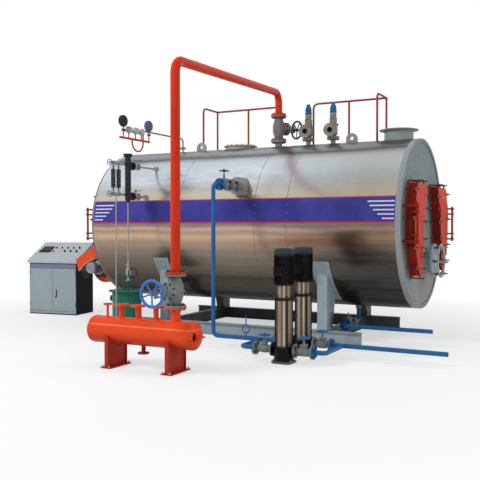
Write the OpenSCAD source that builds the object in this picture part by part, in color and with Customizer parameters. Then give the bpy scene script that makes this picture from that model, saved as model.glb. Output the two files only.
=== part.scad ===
// Horizontal fire-tube steam boiler plant with burner, console, steam header and feed pumps.
// X runs from the burner end to the rear, measured from the front saddle. Y is 0 on the
// boiler axis and negative on the side with the pipework. Z is measured from the ground.

/* [Boiler] */
// Outer radius of the clad shell
shell_r = 1200; // [1100:10:1300]
// Length of the boiler between its end faces
shell_len = 4950; // [4600:10:5400]
// Thickness of the cladding, insulation and shell together
shell_wall = 90; // [60:5:120]
// Height of the boiler axis over the ground
axis_z = 1650; // [1600:10:1750]
// Front end face to front saddle
saddle_setback = 1225; // [1150:5:1300]
// Distance between the two saddles
saddle_pitch = 2600; // [2500:10:2700]
// Thickness of each end plate
plate_t = 60; // [50:5:80]
// Width of the raised rim round each end plate
rim_w = 55; // [40:5:60]
// Height of the raised rim over the end plate
rim_h = 12; // [8:1:20]
// Height of the furnace axis over the ground
furnace_z = 1130; // [1080:10:1180]
// Flue outlet, in front of the rear end face
flue_back = 340; // [320:5:380]
// Outer radius of the flue outlet
flue_r = 205; // [180:1:215]
// Radius of the flue flange
flue_flange_r = 275; // [270:1:300]
// Height of the flue flange over the top of the shell
flue_rise = 147; // [130:1:200]
// Top cover, behind the front saddle
cover_x = 810; // [780:5:840]
// Radius of the top cover
cover_r = 265; // [240:5:280]
// Height of the nozzle flanges over the top of the shell
stub_rise = 70; // [60:5:90]

/* [Lifting lugs] */
// Front lug, behind the front end face
lug_front = 1310; // [1250:5:1400]
// Rear lug, in front of the rear end face
lug_rear = 1045; // [1000:5:1100]
// Width of a lifting lug
lug_w = 175; // [150:5:200]
// Height of a lifting lug over the shell
lug_h = 145; // [135:5:170]
// Radius of a lifting lug's eye
lug_hole_r = 28; // [22:1:32]

/* [Safety valves] */
// Front safety valve, behind the front saddle
safety_front = 1985; // [1960:5:2010]
// Distance between the two safety valves
safety_pitch = 400; // [380:5:420]
// Outlet flange of a safety valve, out from its axis
safety_out = 150; // [140:5:170]

/* [Fire tubes] */
// Outer radius of a fire tube
tube_r = 32; // [26:1:34]
// Wall of a fire tube
tube_wall = 4; // [3:0.5:6]
// Distance between fire tubes
tube_pitch = 96; // [90:2:110]

/* [Skid] */
// Height of the skid beams
beam_h = 180; // [160:5:200]
// Width of the skid beams
beam_w = 90; // [70:5:110]
// Web and flange thickness of the skid beams
beam_t = 12; // [8:1:16]
// Distance across the outsides of the skid
skid_w = 2000; // [1900:10:2100]
// Skid overhang past each saddle
skid_over = 550; // [500:10:650]
// Length of a saddle leg along the boiler
leg_len = 145; // [120:5:180]
// Depth of a saddle leg across the boiler
leg_depth = 330; // [280:10:380]
// Depth of a saddle leg at its foot
leg_foot = 205; // [190:5:240]
// Thickness of the saddle plates
leg_t = 14; // [10:1:20]

/* [Smoke-box doors] */
// Radius of a door's outer edge about the boiler axis
door_r = 1000; // [960:5:1030]
// Distance of a door's face from the end plate
door_depth = 150; // [120:5:180]
// Depth of the frame that a door closes against
frame_t = 22; // [16:1:30]
// Width of that frame
frame_w = 60; // [50:2:70]
// Door top over the boiler axis
door_top = 530; // [480:10:560]
// Door bottom under the boiler axis
door_bottom = 690; // [640:10:700]
// Door inner edge from the centre, at the top
door_in_top = 330; // [310:10:380]
// Door inner edge from the centre, at the axis
door_in_mid = 500; // [480:10:540]
// Door inner edge from the centre, at the bottom
door_in_low = 600; // [580:10:620]
// Distance of the hinge bars from the centre
davit_y = 1075; // [1065:5:1085]
// Distance of the hinge bars from the end plate
davit_out = 200; // [180:5:240]
// Length of a hinge bar
davit_h = 500; // [460:10:560]
// Radius of a hinge bar
davit_r = 16; // [12:1:18]

/* [Vent port] */
// Outer radius of the vent port tube
vent_r = 172; // [150:2:190]
// Radius of the vent cover
vent_cover_r = 238; // [220:2:250]
// Stand-off of the vent cover from the end plate
vent_out = 170; // [150:5:200]
// Stand-off of the spring ring from the cover
vent_ring_gap = 75; // [60:5:90]

/* [Burner] */
// Radius of the fan scroll
scroll_r = 285; // [260:5:300]
// Width of the burner casing
burner_w = 480; // [400:10:500]
// Fan scroll centre in front of the boiler
scroll_out = 516; // [500:2:560]
// Height of the fan scroll centre
scroll_z = 918; // [900:2:930]
// Radius of the fan motor
fan_motor_r = 95; // [85:1:105]
// Length of the fan motor
fan_motor_len = 260; // [220:10:300]
// Sheet thickness of the air intake
hood_t = 14; // [8:1:20]
// Width of the scroll's rims
scroll_rim = 24; // [16:1:34]

/* [Steam outlet] */
// Main steam valve, behind the front saddle
steam_x = 1485; // [1400:5:1550]
// Bore size class: outer radius of the steam pipe
steam_r = 54; // [45:1:57]
// Wall of the steam pipe
steam_wall = 5; // [4:0.5:8]
// Radius of the steam flanges
steam_flange_r = 119; // [110:1:125]
// Thickness of the steam flanges
steam_flange_t = 24; // [20:1:28]
// Bolt circle radius of the steam flanges
steam_bolt_r = 92; // [88:1:95]
// Height of the steam pipe over the main valve
steam_top_z = 3690; // [3640:10:3740]
// Height of the steam pipe over the header
steam_far_z = 3440; // [3400:10:3500]
// Centre-line radius of the steam bends
steam_bend = 160; // [150:5:200]
// Radius of the large handwheels
big_wheel_r = 154; // [140:2:160]

/* [Steam header] */
// Header axis, out from the boiler axis
header_y = 3550; // [3500:10:3600]
// Height of the header axis
header_z = 416; // [400:2:440]
// Outer radius of the header
header_r = 155; // [145:1:165]
// Wall of the header
header_wall = 8; // [6:1:12]
// Left end of the header's straight barrel
header_x0 = 790; // [760:5:810]
// Right end of the header's straight barrel
header_x1 = 2090; // [2080:5:2120]
// Depth of a header head
head_depth = 84; // [80:1:90]
// Steam inlet of the header
inlet_x = 1875; // [1865:1:1885]
// Height of the header's flange faces
nozzle_z = 720; // [700:5:740]

// Width of the header legs' front and back plates
header_leg_w = 50; // [40:2:70]
// Radius of the hand-hole in the header's right head
hand_hole_r = 45; // [38:1:52]

/* [Gauge line] */
// Gauge line, in front of the front saddle
gauge_x = -282; // [-300:2:-260]
// Height of the gauge line over the top of the shell
gauge_rise = 225; // [200:5:250]
// Height of the gauge bar over the top of the shell
gauge_bar_rise = 63; // [50:1:80]
// Radius of the siphon loop
loop_r = 140; // [120:5:150]
// Outer end of the gauge bar, out from the boiler axis
gauge_bar_y = 1774; // [1750:2:1800]
// Radius of a dial
dial_r = 85; // [70:1:90]

/* [Water column] */
// Water column, in front of the front saddle
column_x = -245; // [-265:5:-225]
// Water column, out from the boiler axis
column_y = 1575; // [1550:5:1600]
// Radius of the water column
column_r = 45; // [40:1:50]
// Bottom of the water column's barrel
column_z0 = 2010; // [2000:5:2020]
// Top of the water column's barrel
column_z1 = 2665; // [2640:5:2690]
// Height of the lower connection
link_low = 2060; // [2050:2:2070]
// Height of the upper connection
link_high = 2510; // [2500:2:2530]
// Drain of the gauge glasses, out from the column
glass_out = 286; // [280:2:300]
// Distance between the two gauge glasses
glass_pitch = 124; // [116:2:136]
// Width of a gauge glass bar
glass_w = 46; // [40:1:52]

/* [Sample cooler] */
// Radius of the cooler tank
cooler_r = 215; // [200:5:230]
// Height of the cooler tank
cooler_h = 650; // [630:5:670]
// Wall of the cooler tank
cooler_wall = 5; // [4:1:8]
// Lid of the cooler tank, from its centre to a corner
lid_r = 280; // [260:2:290]

/* [Feed water] */
// Feed nozzle and riser, behind the front saddle
feed_x = 1391; // [1380:1:1400]
// Height of the feed nozzle
feed_z = 2185; // [2170:5:2200]
// Outer radius of the feed pipe
feed_r = 28; // [24:1:30]
// Wall of the feed pipe
feed_wall = 4; // [3:0.5:5]
// Feed pipes along the boiler, out from its axis
feed_y = 1880; // [1870:5:1890]
// Height of the pump ports and the low pipes
port_z = 150; // [140:5:160]
// Pump axes, behind the front saddle
pump_x = 2695; // [2680:5:2710]
// Second pump, out from the first
pump_pitch = 590; // [570:5:620]
// Height of a pump
pump_h = 1350; // [1300:10:1400]
// Radius of a pump's column
pump_col_r = 95; // [85:1:100]
// Radius of a pump's motor
pump_motor_r = 120; // [110:1:125]
// Radius of the small flanges
small_flange_r = 84; // [80:1:90]
// Thickness of the small flanges
small_flange_t = 16; // [14:1:20]
// Bolt circle radius of the small flanges
small_bolt_r = 62; // [58:1:66]
// Pump ports, out from the pump axis
pump_port = 142; // [135:1:150]
// Height of a pump's base
pump_base_z = 184; // [180:1:190]
// Height of the ring on top of a pump's tube
lantern_z = 770; // [740:5:800]

/* [Blowdown] */
// Blowdown nozzle, behind the front saddle
blow_x = 2790; // [2760:5:2820]
// Height of the blowdown pipe
blow_z = 225; // [220:5:240]
// Right-hand end of the low pipes
pipe_end_x = 4480; // [4400:10:4600]

/* [Console] */
// Width of the console
console_w = 990; // [900:5:1000]
// Depth of the console
console_d = 580; // [520:5:600]
// Height of the console's cabinet
console_h = 940; // [900:5:960]
// Sheet thickness of the console
console_t = 12; // [8:1:16]
// Rise of the sloped desk
desk_rise = 320; // [280:5:340]
// Turn of the console about the vertical
console_turn = 8; // [4:1:12]
// Console's middle, in front of the boiler's end face
console_out = 1774; // [1760:2:1800]
// Console's middle, across from the boiler axis
console_y = 53; // [40:1:70]

/* [Handrails] */
// Radius of the handrail tube
rail_r = 16; // [14:1:20]
// Height of the handrail over the top of the shell
rail_rise = 730; // [690:10:770]
// Handrail, across from the boiler axis
rail_y = 600; // [580:5:620]
// Distance between rail posts
rail_pitch = 600; // [580:5:620]

/* [Hidden] */

$fn = 48;
// Clearance between a curved seat and the piece on it
seat = 0.3;
// Overrun of a cutting tool past the face that it cuts
over = 1;

front_x = -saddle_setback;
rear_x = front_x + shell_len;
shell_top = axis_z + shell_r;
pump1_y = -feed_y - pump_pitch;
pump2_y = -feed_y;
column_bottom = column_z0 - 44;
davit_lug_z = davit_h / 2 - 20;
eye_z = davit_h / 2 - 100;
console_x = front_x - console_out;
rail_z = shell_top + rail_rise;
stub_z = shell_top + stub_rise;
flue_x = rear_x - flue_back;
flue_top = shell_top + flue_rise;
safety_x = [safety_front, safety_front + safety_pitch];
lug_x = [front_x + lug_front, rear_x - lug_rear];
feed_flange_y = shell_r + 70;
blow_nozzle_z = axis_z - shell_r - 50;
column_links = [link_low, link_high];
glass_y = -column_y - glass_out;
cock_end_y = glass_y - glass_pitch / 2 - 28;
drain_valve_z = cooler_h + 155;
drain_valve_h = 245;

// A bar along +X from x, centred on y and z
module bar_x(x, y, z, r, len) {
  translate([x, y, z]) rotate([0, 90, 0]) cylinder(r = r, h = len);
}

// A bar along +Y from y, centred on x and z
module bar_y(x, y, z, r, len) {
  translate([x, y, z]) rotate([-90, 0, 0]) cylinder(r = r, h = len);
}

// A bar along +Z from z, centred on x and y
module bar_z(x, y, z, r, len) {
  translate([x, y, z]) cylinder(r = r, h = len);
}

// A straight round bar from point a to point b
module rod(a, b, r) {
  d = b - a;
  len = norm(d);
  translate(a) rotate([0, acos(d[2] / len), atan2(d[1], d[0])]) cylinder(r = r, h = len);
}

// A straight pipe from point a to point b
module pipe(a, b, r, wall) {
  d = b - a;
  len = norm(d);
  translate(a) rotate([0, acos(d[2] / len), atan2(d[1], d[0])]) difference() {
    cylinder(r = r, h = len);
    translate([0, 0, -over]) cylinder(r = r - wall, h = len + 2 * over);
  }
}

// A bend that starts at the origin along +Z and turns towards +X
module bend(radius, r, wall, angle) {
  translate([radius, 0, 0]) rotate([90, 0, 0]) rotate([0, 0, 180 - angle])
    rotate_extrude(angle = angle) translate([radius, 0]) difference() {
      circle(r = r);
      circle(r = r - wall);
    }
}

// A quarter turn of a solid round bar at a corner, from one axis direction to another
module turn(corner, from, to, radius, r) {
  side = cross(from, to);
  start = corner - radius * from;
  multmatrix([[to[0], side[0], from[0], start[0]], [to[1], side[1], from[1], start[1]],
      [to[2], side[2], from[2], start[2]], [0, 0, 0, 1]])
    translate([radius, 0, 0]) rotate([90, 0, 0]) rotate([0, 0, 90])
      rotate_extrude(angle = 90) translate([radius, 0]) circle(r = r);
}

function unit(v) = v / norm(v);

// A round bar through points whose legs run along the axes, with quarter turns between them
module bent_bar(points, radius, r) {
  last = len(points) - 1;
  for (i = [0 : last - 1]) {
    dir = unit(points[i + 1] - points[i]);
    rod(points[i] + (i > 0 ? radius : 0) * dir, points[i + 1] - (i < last - 1 ? radius : 0) * dir, r);
    if (i > 0) turn(points[i], unit(points[i] - points[i - 1]), dir, radius, r);
  }
}

// The same points with both ends moved out, for the bore of a pipe
function run_past(points) = let (last = len(points) - 1) [for (i = [0 : last])
  i == 0 ? points[0] - over * unit(points[1] - points[0])
  : i == last ? points[last] + over * unit(points[last] - points[last - 1]) : points[i]];

// The clad shell's outside, as a cutting tool with a clearance
module shell_cut(gap = seat) {
  bar_x(front_x - over, 0, axis_z, shell_r + gap, shell_len + 2 * over, $fn = 240);
}

// A flange with its lower face at the origin and its axis along +Z, closed if bore_r is 0
module flange(r, t, bore_r, bolt_r, bolts, hole_r) {
  difference() {
    cylinder(r = r, h = t);
    if (bore_r > 0) translate([0, 0, -over]) cylinder(r = bore_r, h = t + 2 * over);
    for (i = [0 : bolts - 1]) rotate([0, 0, (i + 0.5) * 360 / bolts])
      translate([bolt_r, 0, -over]) cylinder(r = hole_r, h = t + 2 * over, $fn = 24);
  }
}

// A small line flange from x towards +X, with its pipe's bore or closed
module line_flange(x, y, z, bore_r = 0) {
  translate([x, y, z]) rotate([0, 90, 0])
    flange(small_flange_r, small_flange_t, bore_r, small_bolt_r, 4, 8);
}

// A handwheel in the XY plane, its hub round the origin and its axis along +Z
module handwheel(r, rim, spokes, bore_r) {
  hub_r = r * 0.16;
  hub_h = 2 * (hub_half - seat);
  difference() {
    union() {
      rotate_extrude() translate([r - rim / 2, 0]) circle(r = rim / 2);
      translate([0, 0, -hub_h / 2]) cylinder(r = hub_r, h = hub_h);
      for (i = [0 : spokes - 1]) rotate([0, 0, i * 360 / spokes])
        translate([hub_r * 0.7, 0, 0]) rotate([0, 90, 0])
          cylinder(r = rim * 0.28, h = r - rim / 2 - hub_r * 0.7, $fn = 20);
    }
    translate([0, 0, -hub_h]) cylinder(r = bore_r, h = 2 * hub_h);
  }
}
// Half the length of a handwheel's seat on its stem
hub_half = 20;

// An end plate with a raised rim on its outer side, drilled for the fire tubes
module end_plate(x, out) {
  difference() {
    union() {
      bar_x(x, 0, axis_z, shell_r, plate_t);
      translate([out > 0 ? x + plate_t : x - rim_h, 0, axis_z]) rotate([0, 90, 0]) difference() {
        cylinder(r = shell_r, h = rim_h);
        translate([0, 0, -over]) cylinder(r = shell_r - rim_w, h = rim_h + 2 * over);
      }
    }
    tube_places() bar_x(x - over, 0, 0, tube_r + seat, plate_t + 2 * over);
  }
}

// Puts its child at each fire tube's place on both sides of the boiler
module tube_places() {
  for (side = [-1, 1]) for (row = [-4 : 3]) for (col = [0 : 2]) {
    y = door_in_mid + 120 + col * tube_pitch + (abs(row) % 2) * tube_pitch / 2;
    z = row * tube_pitch * 0.87 + 50;
    if (y * y + z * z < pow(door_r - 90, 2)) translate([0, side * y, axis_z + z]) children();
  }
}

// Outline of a smoke-box door, drawn for the near side
module door_outline(inset) {
  left = -door_r - frame_w;
  intersection() {
    circle(r = door_r - inset, $fn = 96);
    polygon([[left, door_top - inset], [-door_in_top - inset, door_top - inset],
      [-door_in_mid - inset, 0], [-door_in_low - inset, inset - door_bottom],
      [left, inset - door_bottom]]);
  }
}

// The frame on the rear end plate that the near door closes against, with the plate at x = 0
module door_frame() {
  lap = 25;
  translate([0, 0, axis_z]) rotate([90, 0, 90]) linear_extrude(frame_t) difference() {
    door_outline(-lap);
    door_outline(frame_w - lap);
  }
}

// A smoke-box door for the rear end's near side, with the end plate at x = 0
module smoke_door() {
  gap = 0.5;
  back = frame_t + gap;
  lap = 25;
  lap_t = 18;
  strap_t = 24;
  strap_back = 80;
  plate_rise = 10;
  plate_low = 95;
  plate_h = 200;
  translate([back, 0, axis_z]) rotate([90, 0, 90]) {
    linear_extrude(lap_t) door_outline(-lap);
    linear_extrude(door_depth - back) door_outline(0);
  }
  intersection() {
    translate([door_depth, 0, axis_z]) rotate([90, 0, 90]) linear_extrude(plate_rise) door_outline(18);
    translate([0, -door_r, axis_z + plate_low]) cube([door_depth + davit_out, door_r, plate_h]);
  }
  for (z = [-eye_z, eye_z]) translate([0, 0, axis_z + z]) difference() {
    union() {
      translate([davit_out, -davit_y, -strap_t / 2]) cylinder(r = davit_r + 14, h = strap_t);
      translate([davit_out - strap_back, -davit_y, -strap_t / 2])
        cube([strap_back + 14, davit_y - sqrt(pow(door_r, 2) - eye_z * eye_z) + 6, strap_t]);
    }
    translate([davit_out, -davit_y, -strap_t]) cylinder(r = davit_r + seat, h = 2 * strap_t);
  }
}
// The two lugs and the bar that carry one smoke-box door, with the end plate at x = 0
module davit() {
  lug_t = 24;
  lug_half = 22;
  knob_h = 14;
  bar_z(davit_out, -davit_y, axis_z - davit_h / 2 - knob_h, davit_r, davit_h + 2 * knob_h);
  for (z = [-davit_lug_z, davit_lug_z]) {
    translate([0, -davit_y - lug_half, axis_z + z - lug_t / 2]) cube([davit_out, 2 * lug_half, lug_t]);
    bar_z(davit_out, -davit_y, axis_z + z - lug_t / 2, lug_half + 8, lug_t);
  }
}

// Moves a piece drawn for the rear end's near side to the end and side that is asked for
module at_end(rear, near) {
  translate([rear ? rear_x : front_x, 0, 0]) mirror([rear ? 0 : 1, 0, 0])
    mirror([0, near ? 0 : 1, 0]) children();
}

module boiler_shell() {
  color("gainsboro") difference() {
    bar_x(front_x + plate_t, 0, axis_z, shell_r, shell_len - 2 * plate_t, $fn = 240);
    bar_x(front_x, 0, axis_z, shell_r - shell_wall, shell_len, $fn = 240);
    bar_z(flue_x, 0, axis_z, flue_r - flue_wall, 2 * shell_r);
  }
}

module front_plate() {
  color("slategray") {
    end_plate(front_x, -1);
    for (near = [false, true]) at_end(false, near) door_frame();
  }
}

module rear_plate() {
  color("slategray") {
    end_plate(rear_x - plate_t, 1);
    for (near = [false, true]) at_end(true, near) door_frame();
  }
}

module fire_tubes() {
  color("dimgray") tube_places() rotate([0, 90, 0]) translate([0, 0, front_x]) difference() {
    cylinder(r = tube_r, h = shell_len, $fn = 24);
    translate([0, 0, -over]) cylinder(r = tube_r - tube_wall, h = shell_len + 2 * over, $fn = 24);
  }
}

flue_wall = 6;
flue_flange_t = 14;
flue_bolt_r = 250;
safety_bolt_r = 72;

module shell_nozzles() {
  safety_r = 38;
  gauge_r = 12;
  feed_pad_r = 130;
  feed_stub_r = 42;
  color("lightsteelblue") {
    difference() {
      union() {
        bar_z(steam_x, 0, axis_z, steam_r, stub_z - axis_z);
        translate([steam_x, 0, stub_z]) flange(steam_flange_r, steam_flange_t, 0, steam_bolt_r, 8, 9);
        for (x = safety_x) {
          bar_z(x, 0, axis_z, safety_r, stub_z - axis_z);
          translate([x, 0, stub_z]) flange(93, 20, 0, safety_bolt_r, 4, 9);
        }
        bar_z(gauge_x, 0, axis_z, gauge_r, shell_r + gauge_stub);
        bar_z(gauge_x, 0, shell_top + gauge_stub - 14, gauge_flange_r, 14);
      }
      shell_cut();
    }
    difference() {
      union() {
        bar_y(feed_x, -shell_r - 10, feed_z, feed_pad_r, shell_r + 10);
        bar_y(feed_x, -feed_flange_y, feed_z, feed_stub_r, feed_flange_y);
        translate([feed_x, -feed_flange_y + small_flange_t, feed_z]) rotate([90, 0, 0])
          flange(small_flange_r, small_flange_t, 0, small_bolt_r, 4, 8);
        bar_y(feed_x + 100, -shell_r - 20, feed_z - 95, 26, shell_r);
        bar_y(feed_x + 100, -shell_r - 20, feed_z - 95, 40, 14);
      }
      shell_cut();
    }
    difference() {
      bar_z(blow_x, 0, blow_nozzle_z, 40, 150);
      shell_cut();
    }
  }
}
// Height of the gauge nozzle over the shell, and the radius of its flange
gauge_stub = 68;
gauge_flange_r = 50;

module top_manhole() {
  neck_r = cover_r - 25;
  neck_h = 30;
  cover_t = 16;
  color("tan") difference() {
    union() {
      bar_z(cover_x, 0, axis_z, neck_r, shell_r + neck_h);
      bar_z(cover_x, 0, shell_top + neck_h, cover_r, cover_t);
      bar_z(cover_x, 0, shell_top + neck_h, cover_r * 0.7, cover_t + 10);
    }
    shell_cut();
  }
}

module lifting_lugs() {
  lug_t = 25;
  color("silver") for (x = lug_x) difference() {
    translate([x, 0, shell_top]) rotate([90, 0, 0]) translate([0, 0, -lug_t / 2])
      linear_extrude(lug_t) union() {
        translate([-lug_w / 2, -20]) square([lug_w, 20 + lug_h - lug_w / 2]);
        translate([0, lug_h - lug_w / 2]) circle(r = lug_w / 2);
      }
    bar_y(x, -lug_t, shell_top + lug_h - lug_w / 2 + 10, lug_hole_r, 2 * lug_t);
    shell_cut();
  }
}

module flue_outlet() {
  color("slategray") difference() {
    union() {
      bar_z(flue_x, 0, axis_z, flue_r, flue_top - axis_z);
      bar_z(flue_x, 0, flue_top - flue_flange_t, flue_flange_r, flue_flange_t);
    }
    bar_z(flue_x, 0, axis_z - over, flue_r - flue_wall, 2 * shell_r);
    for (i = [0 : 11]) translate([flue_x, 0, 0]) rotate([0, 0, (i + 0.5) * 30])
      bar_z(flue_bolt_r, 0, flue_top - 2 * flue_flange_t, 9, 3 * flue_flange_t, $fn = 24);
    shell_cut();
  }
}

// One handrail group: a corner post at x, two more along dir, and an end turned to the middle
module handrail(x, dir) {
  inner_y = 125;
  r_bend = 80;
  foot_r = 34;
  foot_z = shell_top - 250;
  end_x = x + 2 * dir * rail_pitch;
  posts = concat([[x, inner_y]], [for (i = [0 : 2]) [x + i * dir * rail_pitch, rail_y]]);
  difference() {
    union() {
      rod([x, inner_y, foot_z], [x, inner_y, rail_z - r_bend], rail_r);
      turn([x, inner_y, rail_z], [0, 0, 1], [0, 1, 0], r_bend, rail_r);
      rod([x, inner_y + r_bend, rail_z], [x, rail_y, rail_z], rail_r);
      translate([x, rail_y, rail_z]) sphere(r = rail_r);
      rod([x, rail_y, rail_z], [end_x - dir * r_bend, rail_y, rail_z], rail_r);
      turn([end_x, rail_y, rail_z], [dir, 0, 0], [0, 0, -1], r_bend, rail_r);
      rod([end_x, rail_y, foot_z], [end_x, rail_y, rail_z - r_bend], rail_r);
      for (i = [0 : 1]) bar_z(x + i * dir * rail_pitch, rail_y, foot_z, rail_r, rail_z - foot_z);
      for (p = posts) bar_z(p[0], p[1], foot_z, foot_r, foot_top(p[1]) - foot_z);
    }
    shell_cut();
  }
}
// Top of a rail foot that stands on the shell at y
function foot_top(y) = axis_z + sqrt(pow(shell_r, 2) - y * y) + 12;

module handrails() {
  color("indianred") {
    handrail(front_x + 1270, 1);
    handrail(rear_x - 700, -1);
  }
}

module skid_frame() {
  x0 = -skid_over;
  len = saddle_pitch + 2 * skid_over;
  color("lightslategray") {
    for (side = [-1, 1]) for (z = [0, beam_h - beam_t])
      translate([x0, side > 0 ? skid_w / 2 - beam_w : -skid_w / 2, z]) cube([len, beam_w, beam_t]);
    for (side = [-1, 1])
      translate([x0, side * (skid_w / 2 - beam_w / 2) - beam_t / 2, 0]) cube([len, beam_t, beam_h]);
    for (x = [0, saddle_pitch]) {
      translate([x - beam_t / 2, -skid_w / 2 + beam_w / 2, 0]) cube([beam_t, skid_w - beam_w, beam_h]);
      for (z = [0, beam_h - beam_t])
        translate([x - beam_w / 2, -skid_w / 2 + beam_w, z]) cube([beam_w, skid_w - 2 * beam_w, beam_t]);
    }
  }
}

// A saddle leg's side view, Y and Z, its outer face upright and its inner face sloped to the foot
module leg_side(inset) {
  inner_y = leg_outer_y + leg_depth;
  slope_z = axis_z - sqrt(pow(shell_r, 2) - inner_y * inner_y);
  low_z = beam_h + (inset > 0 ? -over : 0);
  polygon([[leg_outer_y + inset, low_z], [leg_outer_y + leg_foot - inset, low_z],
    [inner_y - inset, slope_z], [inner_y - inset, axis_z], [leg_outer_y + inset, axis_z]]);
}

// One hollow saddle leg under the near side of the boiler, with a pad plate that follows the shell
module saddle_leg() {
  pad_t = 14;
  pad_len = leg_len + 120;
  pad_out = asin(-leg_outer_y / shell_r) + 9;
  pad_in = asin((-leg_outer_y - leg_depth) / shell_r) - 6;
  difference() {
    translate([-leg_len / 2, 0, 0]) rotate([90, 0, 90]) linear_extrude(leg_len) leg_side(0);
    translate([-leg_len / 2 + leg_t, 0, 0]) rotate([90, 0, 90]) linear_extrude(leg_len - 2 * leg_t)
      leg_side(leg_t);
    bar_x(-pad_len, 0, axis_z, shell_r + seat + pad_t / 2, 2 * pad_len);
  }
  translate([-pad_len / 2, 0, axis_z]) rotate([0, 90, 0]) rotate([0, 0, -pad_out])
    rotate_extrude(angle = pad_out - pad_in, $fn = 96) translate([shell_r + seat, 0])
      square([pad_t, pad_len]);
}
leg_outer_y = -skid_w / 2 + 10;

module saddle_legs() {
  color("lightsteelblue") for (x = [0, saddle_pitch]) for (side = [0, 1])
    translate([x, 0, 0]) mirror([0, side, 0]) saddle_leg();
}

module door_davits() {
  color("firebrick") for (rear = [false, true]) for (near = [false, true]) at_end(rear, near) davit();
}

module rear_door_near() {
  color("crimson") at_end(true, true) smoke_door();
}

module rear_door_far() {
  color("crimson") at_end(true, false) smoke_door();
}

module front_door_near() {
  color("crimson") at_end(false, true) smoke_door();
}

module front_door_far() {
  color("crimson") at_end(false, false) smoke_door();
}

module vent_port() {
  tube_wall_t = 10;
  cover_t = 16;
  ring_t = 14;
  ring_x = vent_out + cover_t + vent_ring_gap;
  studs = 6;
  color("lightslategray") translate([rear_x, 0, furnace_z]) rotate([0, 90, 0]) {
    difference() {
      cylinder(r = vent_r, h = vent_out);
      translate([0, 0, tube_wall_t]) cylinder(r = vent_r - tube_wall_t, h = vent_out);
    }
    translate([0, 0, vent_out - cover_t]) difference() {
      cylinder(r = vent_cover_r - 4, h = cover_t);
      translate([0, 0, -over]) cylinder(r = vent_r - tube_wall_t, h = cover_t + 2 * over);
    }
    translate([0, 0, vent_out]) cylinder(r = vent_cover_r, h = cover_t);
    translate([0, 0, vent_out + cover_t])
      cylinder(r1 = vent_cover_r * 0.6, r2 = vent_cover_r * 0.45, h = 20);
    translate([0, 0, ring_x]) difference() {
      cylinder(r = vent_cover_r, h = ring_t);
      translate([0, 0, -over]) cylinder(r = vent_cover_r - 50, h = ring_t + 2 * over);
    }
    for (i = [0 : studs - 1]) rotate([0, 0, (i + 0.5) * 360 / studs])
      translate([vent_cover_r - 24, 0, vent_out - cover_t - 22])
        cylinder(r = 9, h = 2 * cover_t + vent_ring_gap + 100, $fn = 20);
  }
}

// Points of an arc in the burner's side view, X negative in front of the boiler, angles from the top
function side_arc(x, z, r, from, to, steps = 12) = [for (i = [0 : steps])
  let (a = from + (to - from) * i / steps) [-x - r * sin(a), z + r * cos(a)]];

// Side outline of the burner casing: the scroll, the neck and the air intake that arches forward
module burner_outline() {
  translate([-scroll_out, scroll_z]) circle(r = scroll_r, $fn = 72);
  polygon(concat([[-170, 1290]], side_arc(hood_top[0], hood_top[1], hood_top[2], 0, hood_top[3]),
    side_arc(hood_low[0], hood_low[1], hood_low[2], hood_low[3], 0), [[-400, 900], [-170, 960]]));
}
// Air intake's upper and lower arcs: centre in front of the boiler, height, radius and end angle
hood_top = [400, 78, 1212, 39.8];
hood_low = [560, 365.4, 706.6, 51.5];

module burner_casing() {
  blades = 5;
  mouth = [side_arc(hood_top[0], hood_top[1], hood_top[2], hood_top[3], hood_top[3], 1)[0],
    side_arc(hood_low[0], hood_low[1], hood_low[2], hood_low[3], hood_low[3], 1)[0]];
  along = mouth[1] - mouth[0];
  color("orangered") translate([front_x, 0, 0]) {
    difference() {
      translate([0, burner_w / 2, 0]) rotate([90, 0, 0]) linear_extrude(burner_w) burner_outline();
      translate([0, burner_w / 2 - hood_t, 0]) rotate([90, 0, 0]) linear_extrude(burner_w - 2 * hood_t)
        polygon(concat(side_arc(hood_top[0], hood_top[1], hood_top[2] - hood_t, 24, hood_top[3] + 2),
          side_arc(hood_low[0], hood_low[1], hood_low[2] + hood_t, hood_low[3] + 3, 24)));
      for (y = [burner_w / 2 - scroll_recess, -burner_w / 2 - over])
        bar_y(-scroll_out, y, scroll_z, scroll_r - scroll_rim, scroll_recess + over);
    }
    for (i = [1 : blades]) {
      p = mouth[0] + along * i / (blades + 1);
      translate([p[0] + 40, -burner_w / 2 + hood_t - over, p[1] + 6]) rotate([0, -30, 0])
        cube([50, burner_w - 2 * hood_t + 2 * over, 5]);
    }
    bar_x(-171, 0, furnace_z, 165, 171);
    bar_x(-24, 0, furnace_z, 250, 24);
  }
}

module burner_motor() {
  motor_x = front_x - 636;
  motor_z = 890;
  face_y = -burner_w / 2;
  end_y = face_y - fan_motor_len;
  fins = 28;
  cowl = 55;
  box_h = 60;
  color("gray") {
    bar_y(motor_x, face_y - 20, motor_z, fan_motor_r + 30, 20 + scroll_recess);
    bar_y(motor_x, end_y + cowl, motor_z, fan_motor_r - 12, fan_motor_len - cowl);
    for (i = [0 : fins - 1]) translate([motor_x, end_y + cowl, motor_z]) rotate([0, i * 360 / fins, 0])
      translate([fan_motor_r - 20, 0, -2]) cube([16, fan_motor_len - cowl - 30, 4]);
    translate([motor_x, end_y + cowl, motor_z]) rotate([90, 0, 0]) rotate_extrude()
      polygon([[0, 0], [fan_motor_r, 0], [fan_motor_r, cowl - 14], [fan_motor_r - 14, cowl], [62, cowl],
        [56, cowl - 5], [0, cowl - 5]]);
    translate([motor_x + 20, face_y - 120, motor_z + fan_motor_r - 40]) cube([90, 120, box_h]);
    bar_y(motor_x + 106, face_y - 130, motor_z + 175, 38, 130 + scroll_recess);
  }
}
// Depth of the recess in the scroll's sides
scroll_recess = 14;

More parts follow.
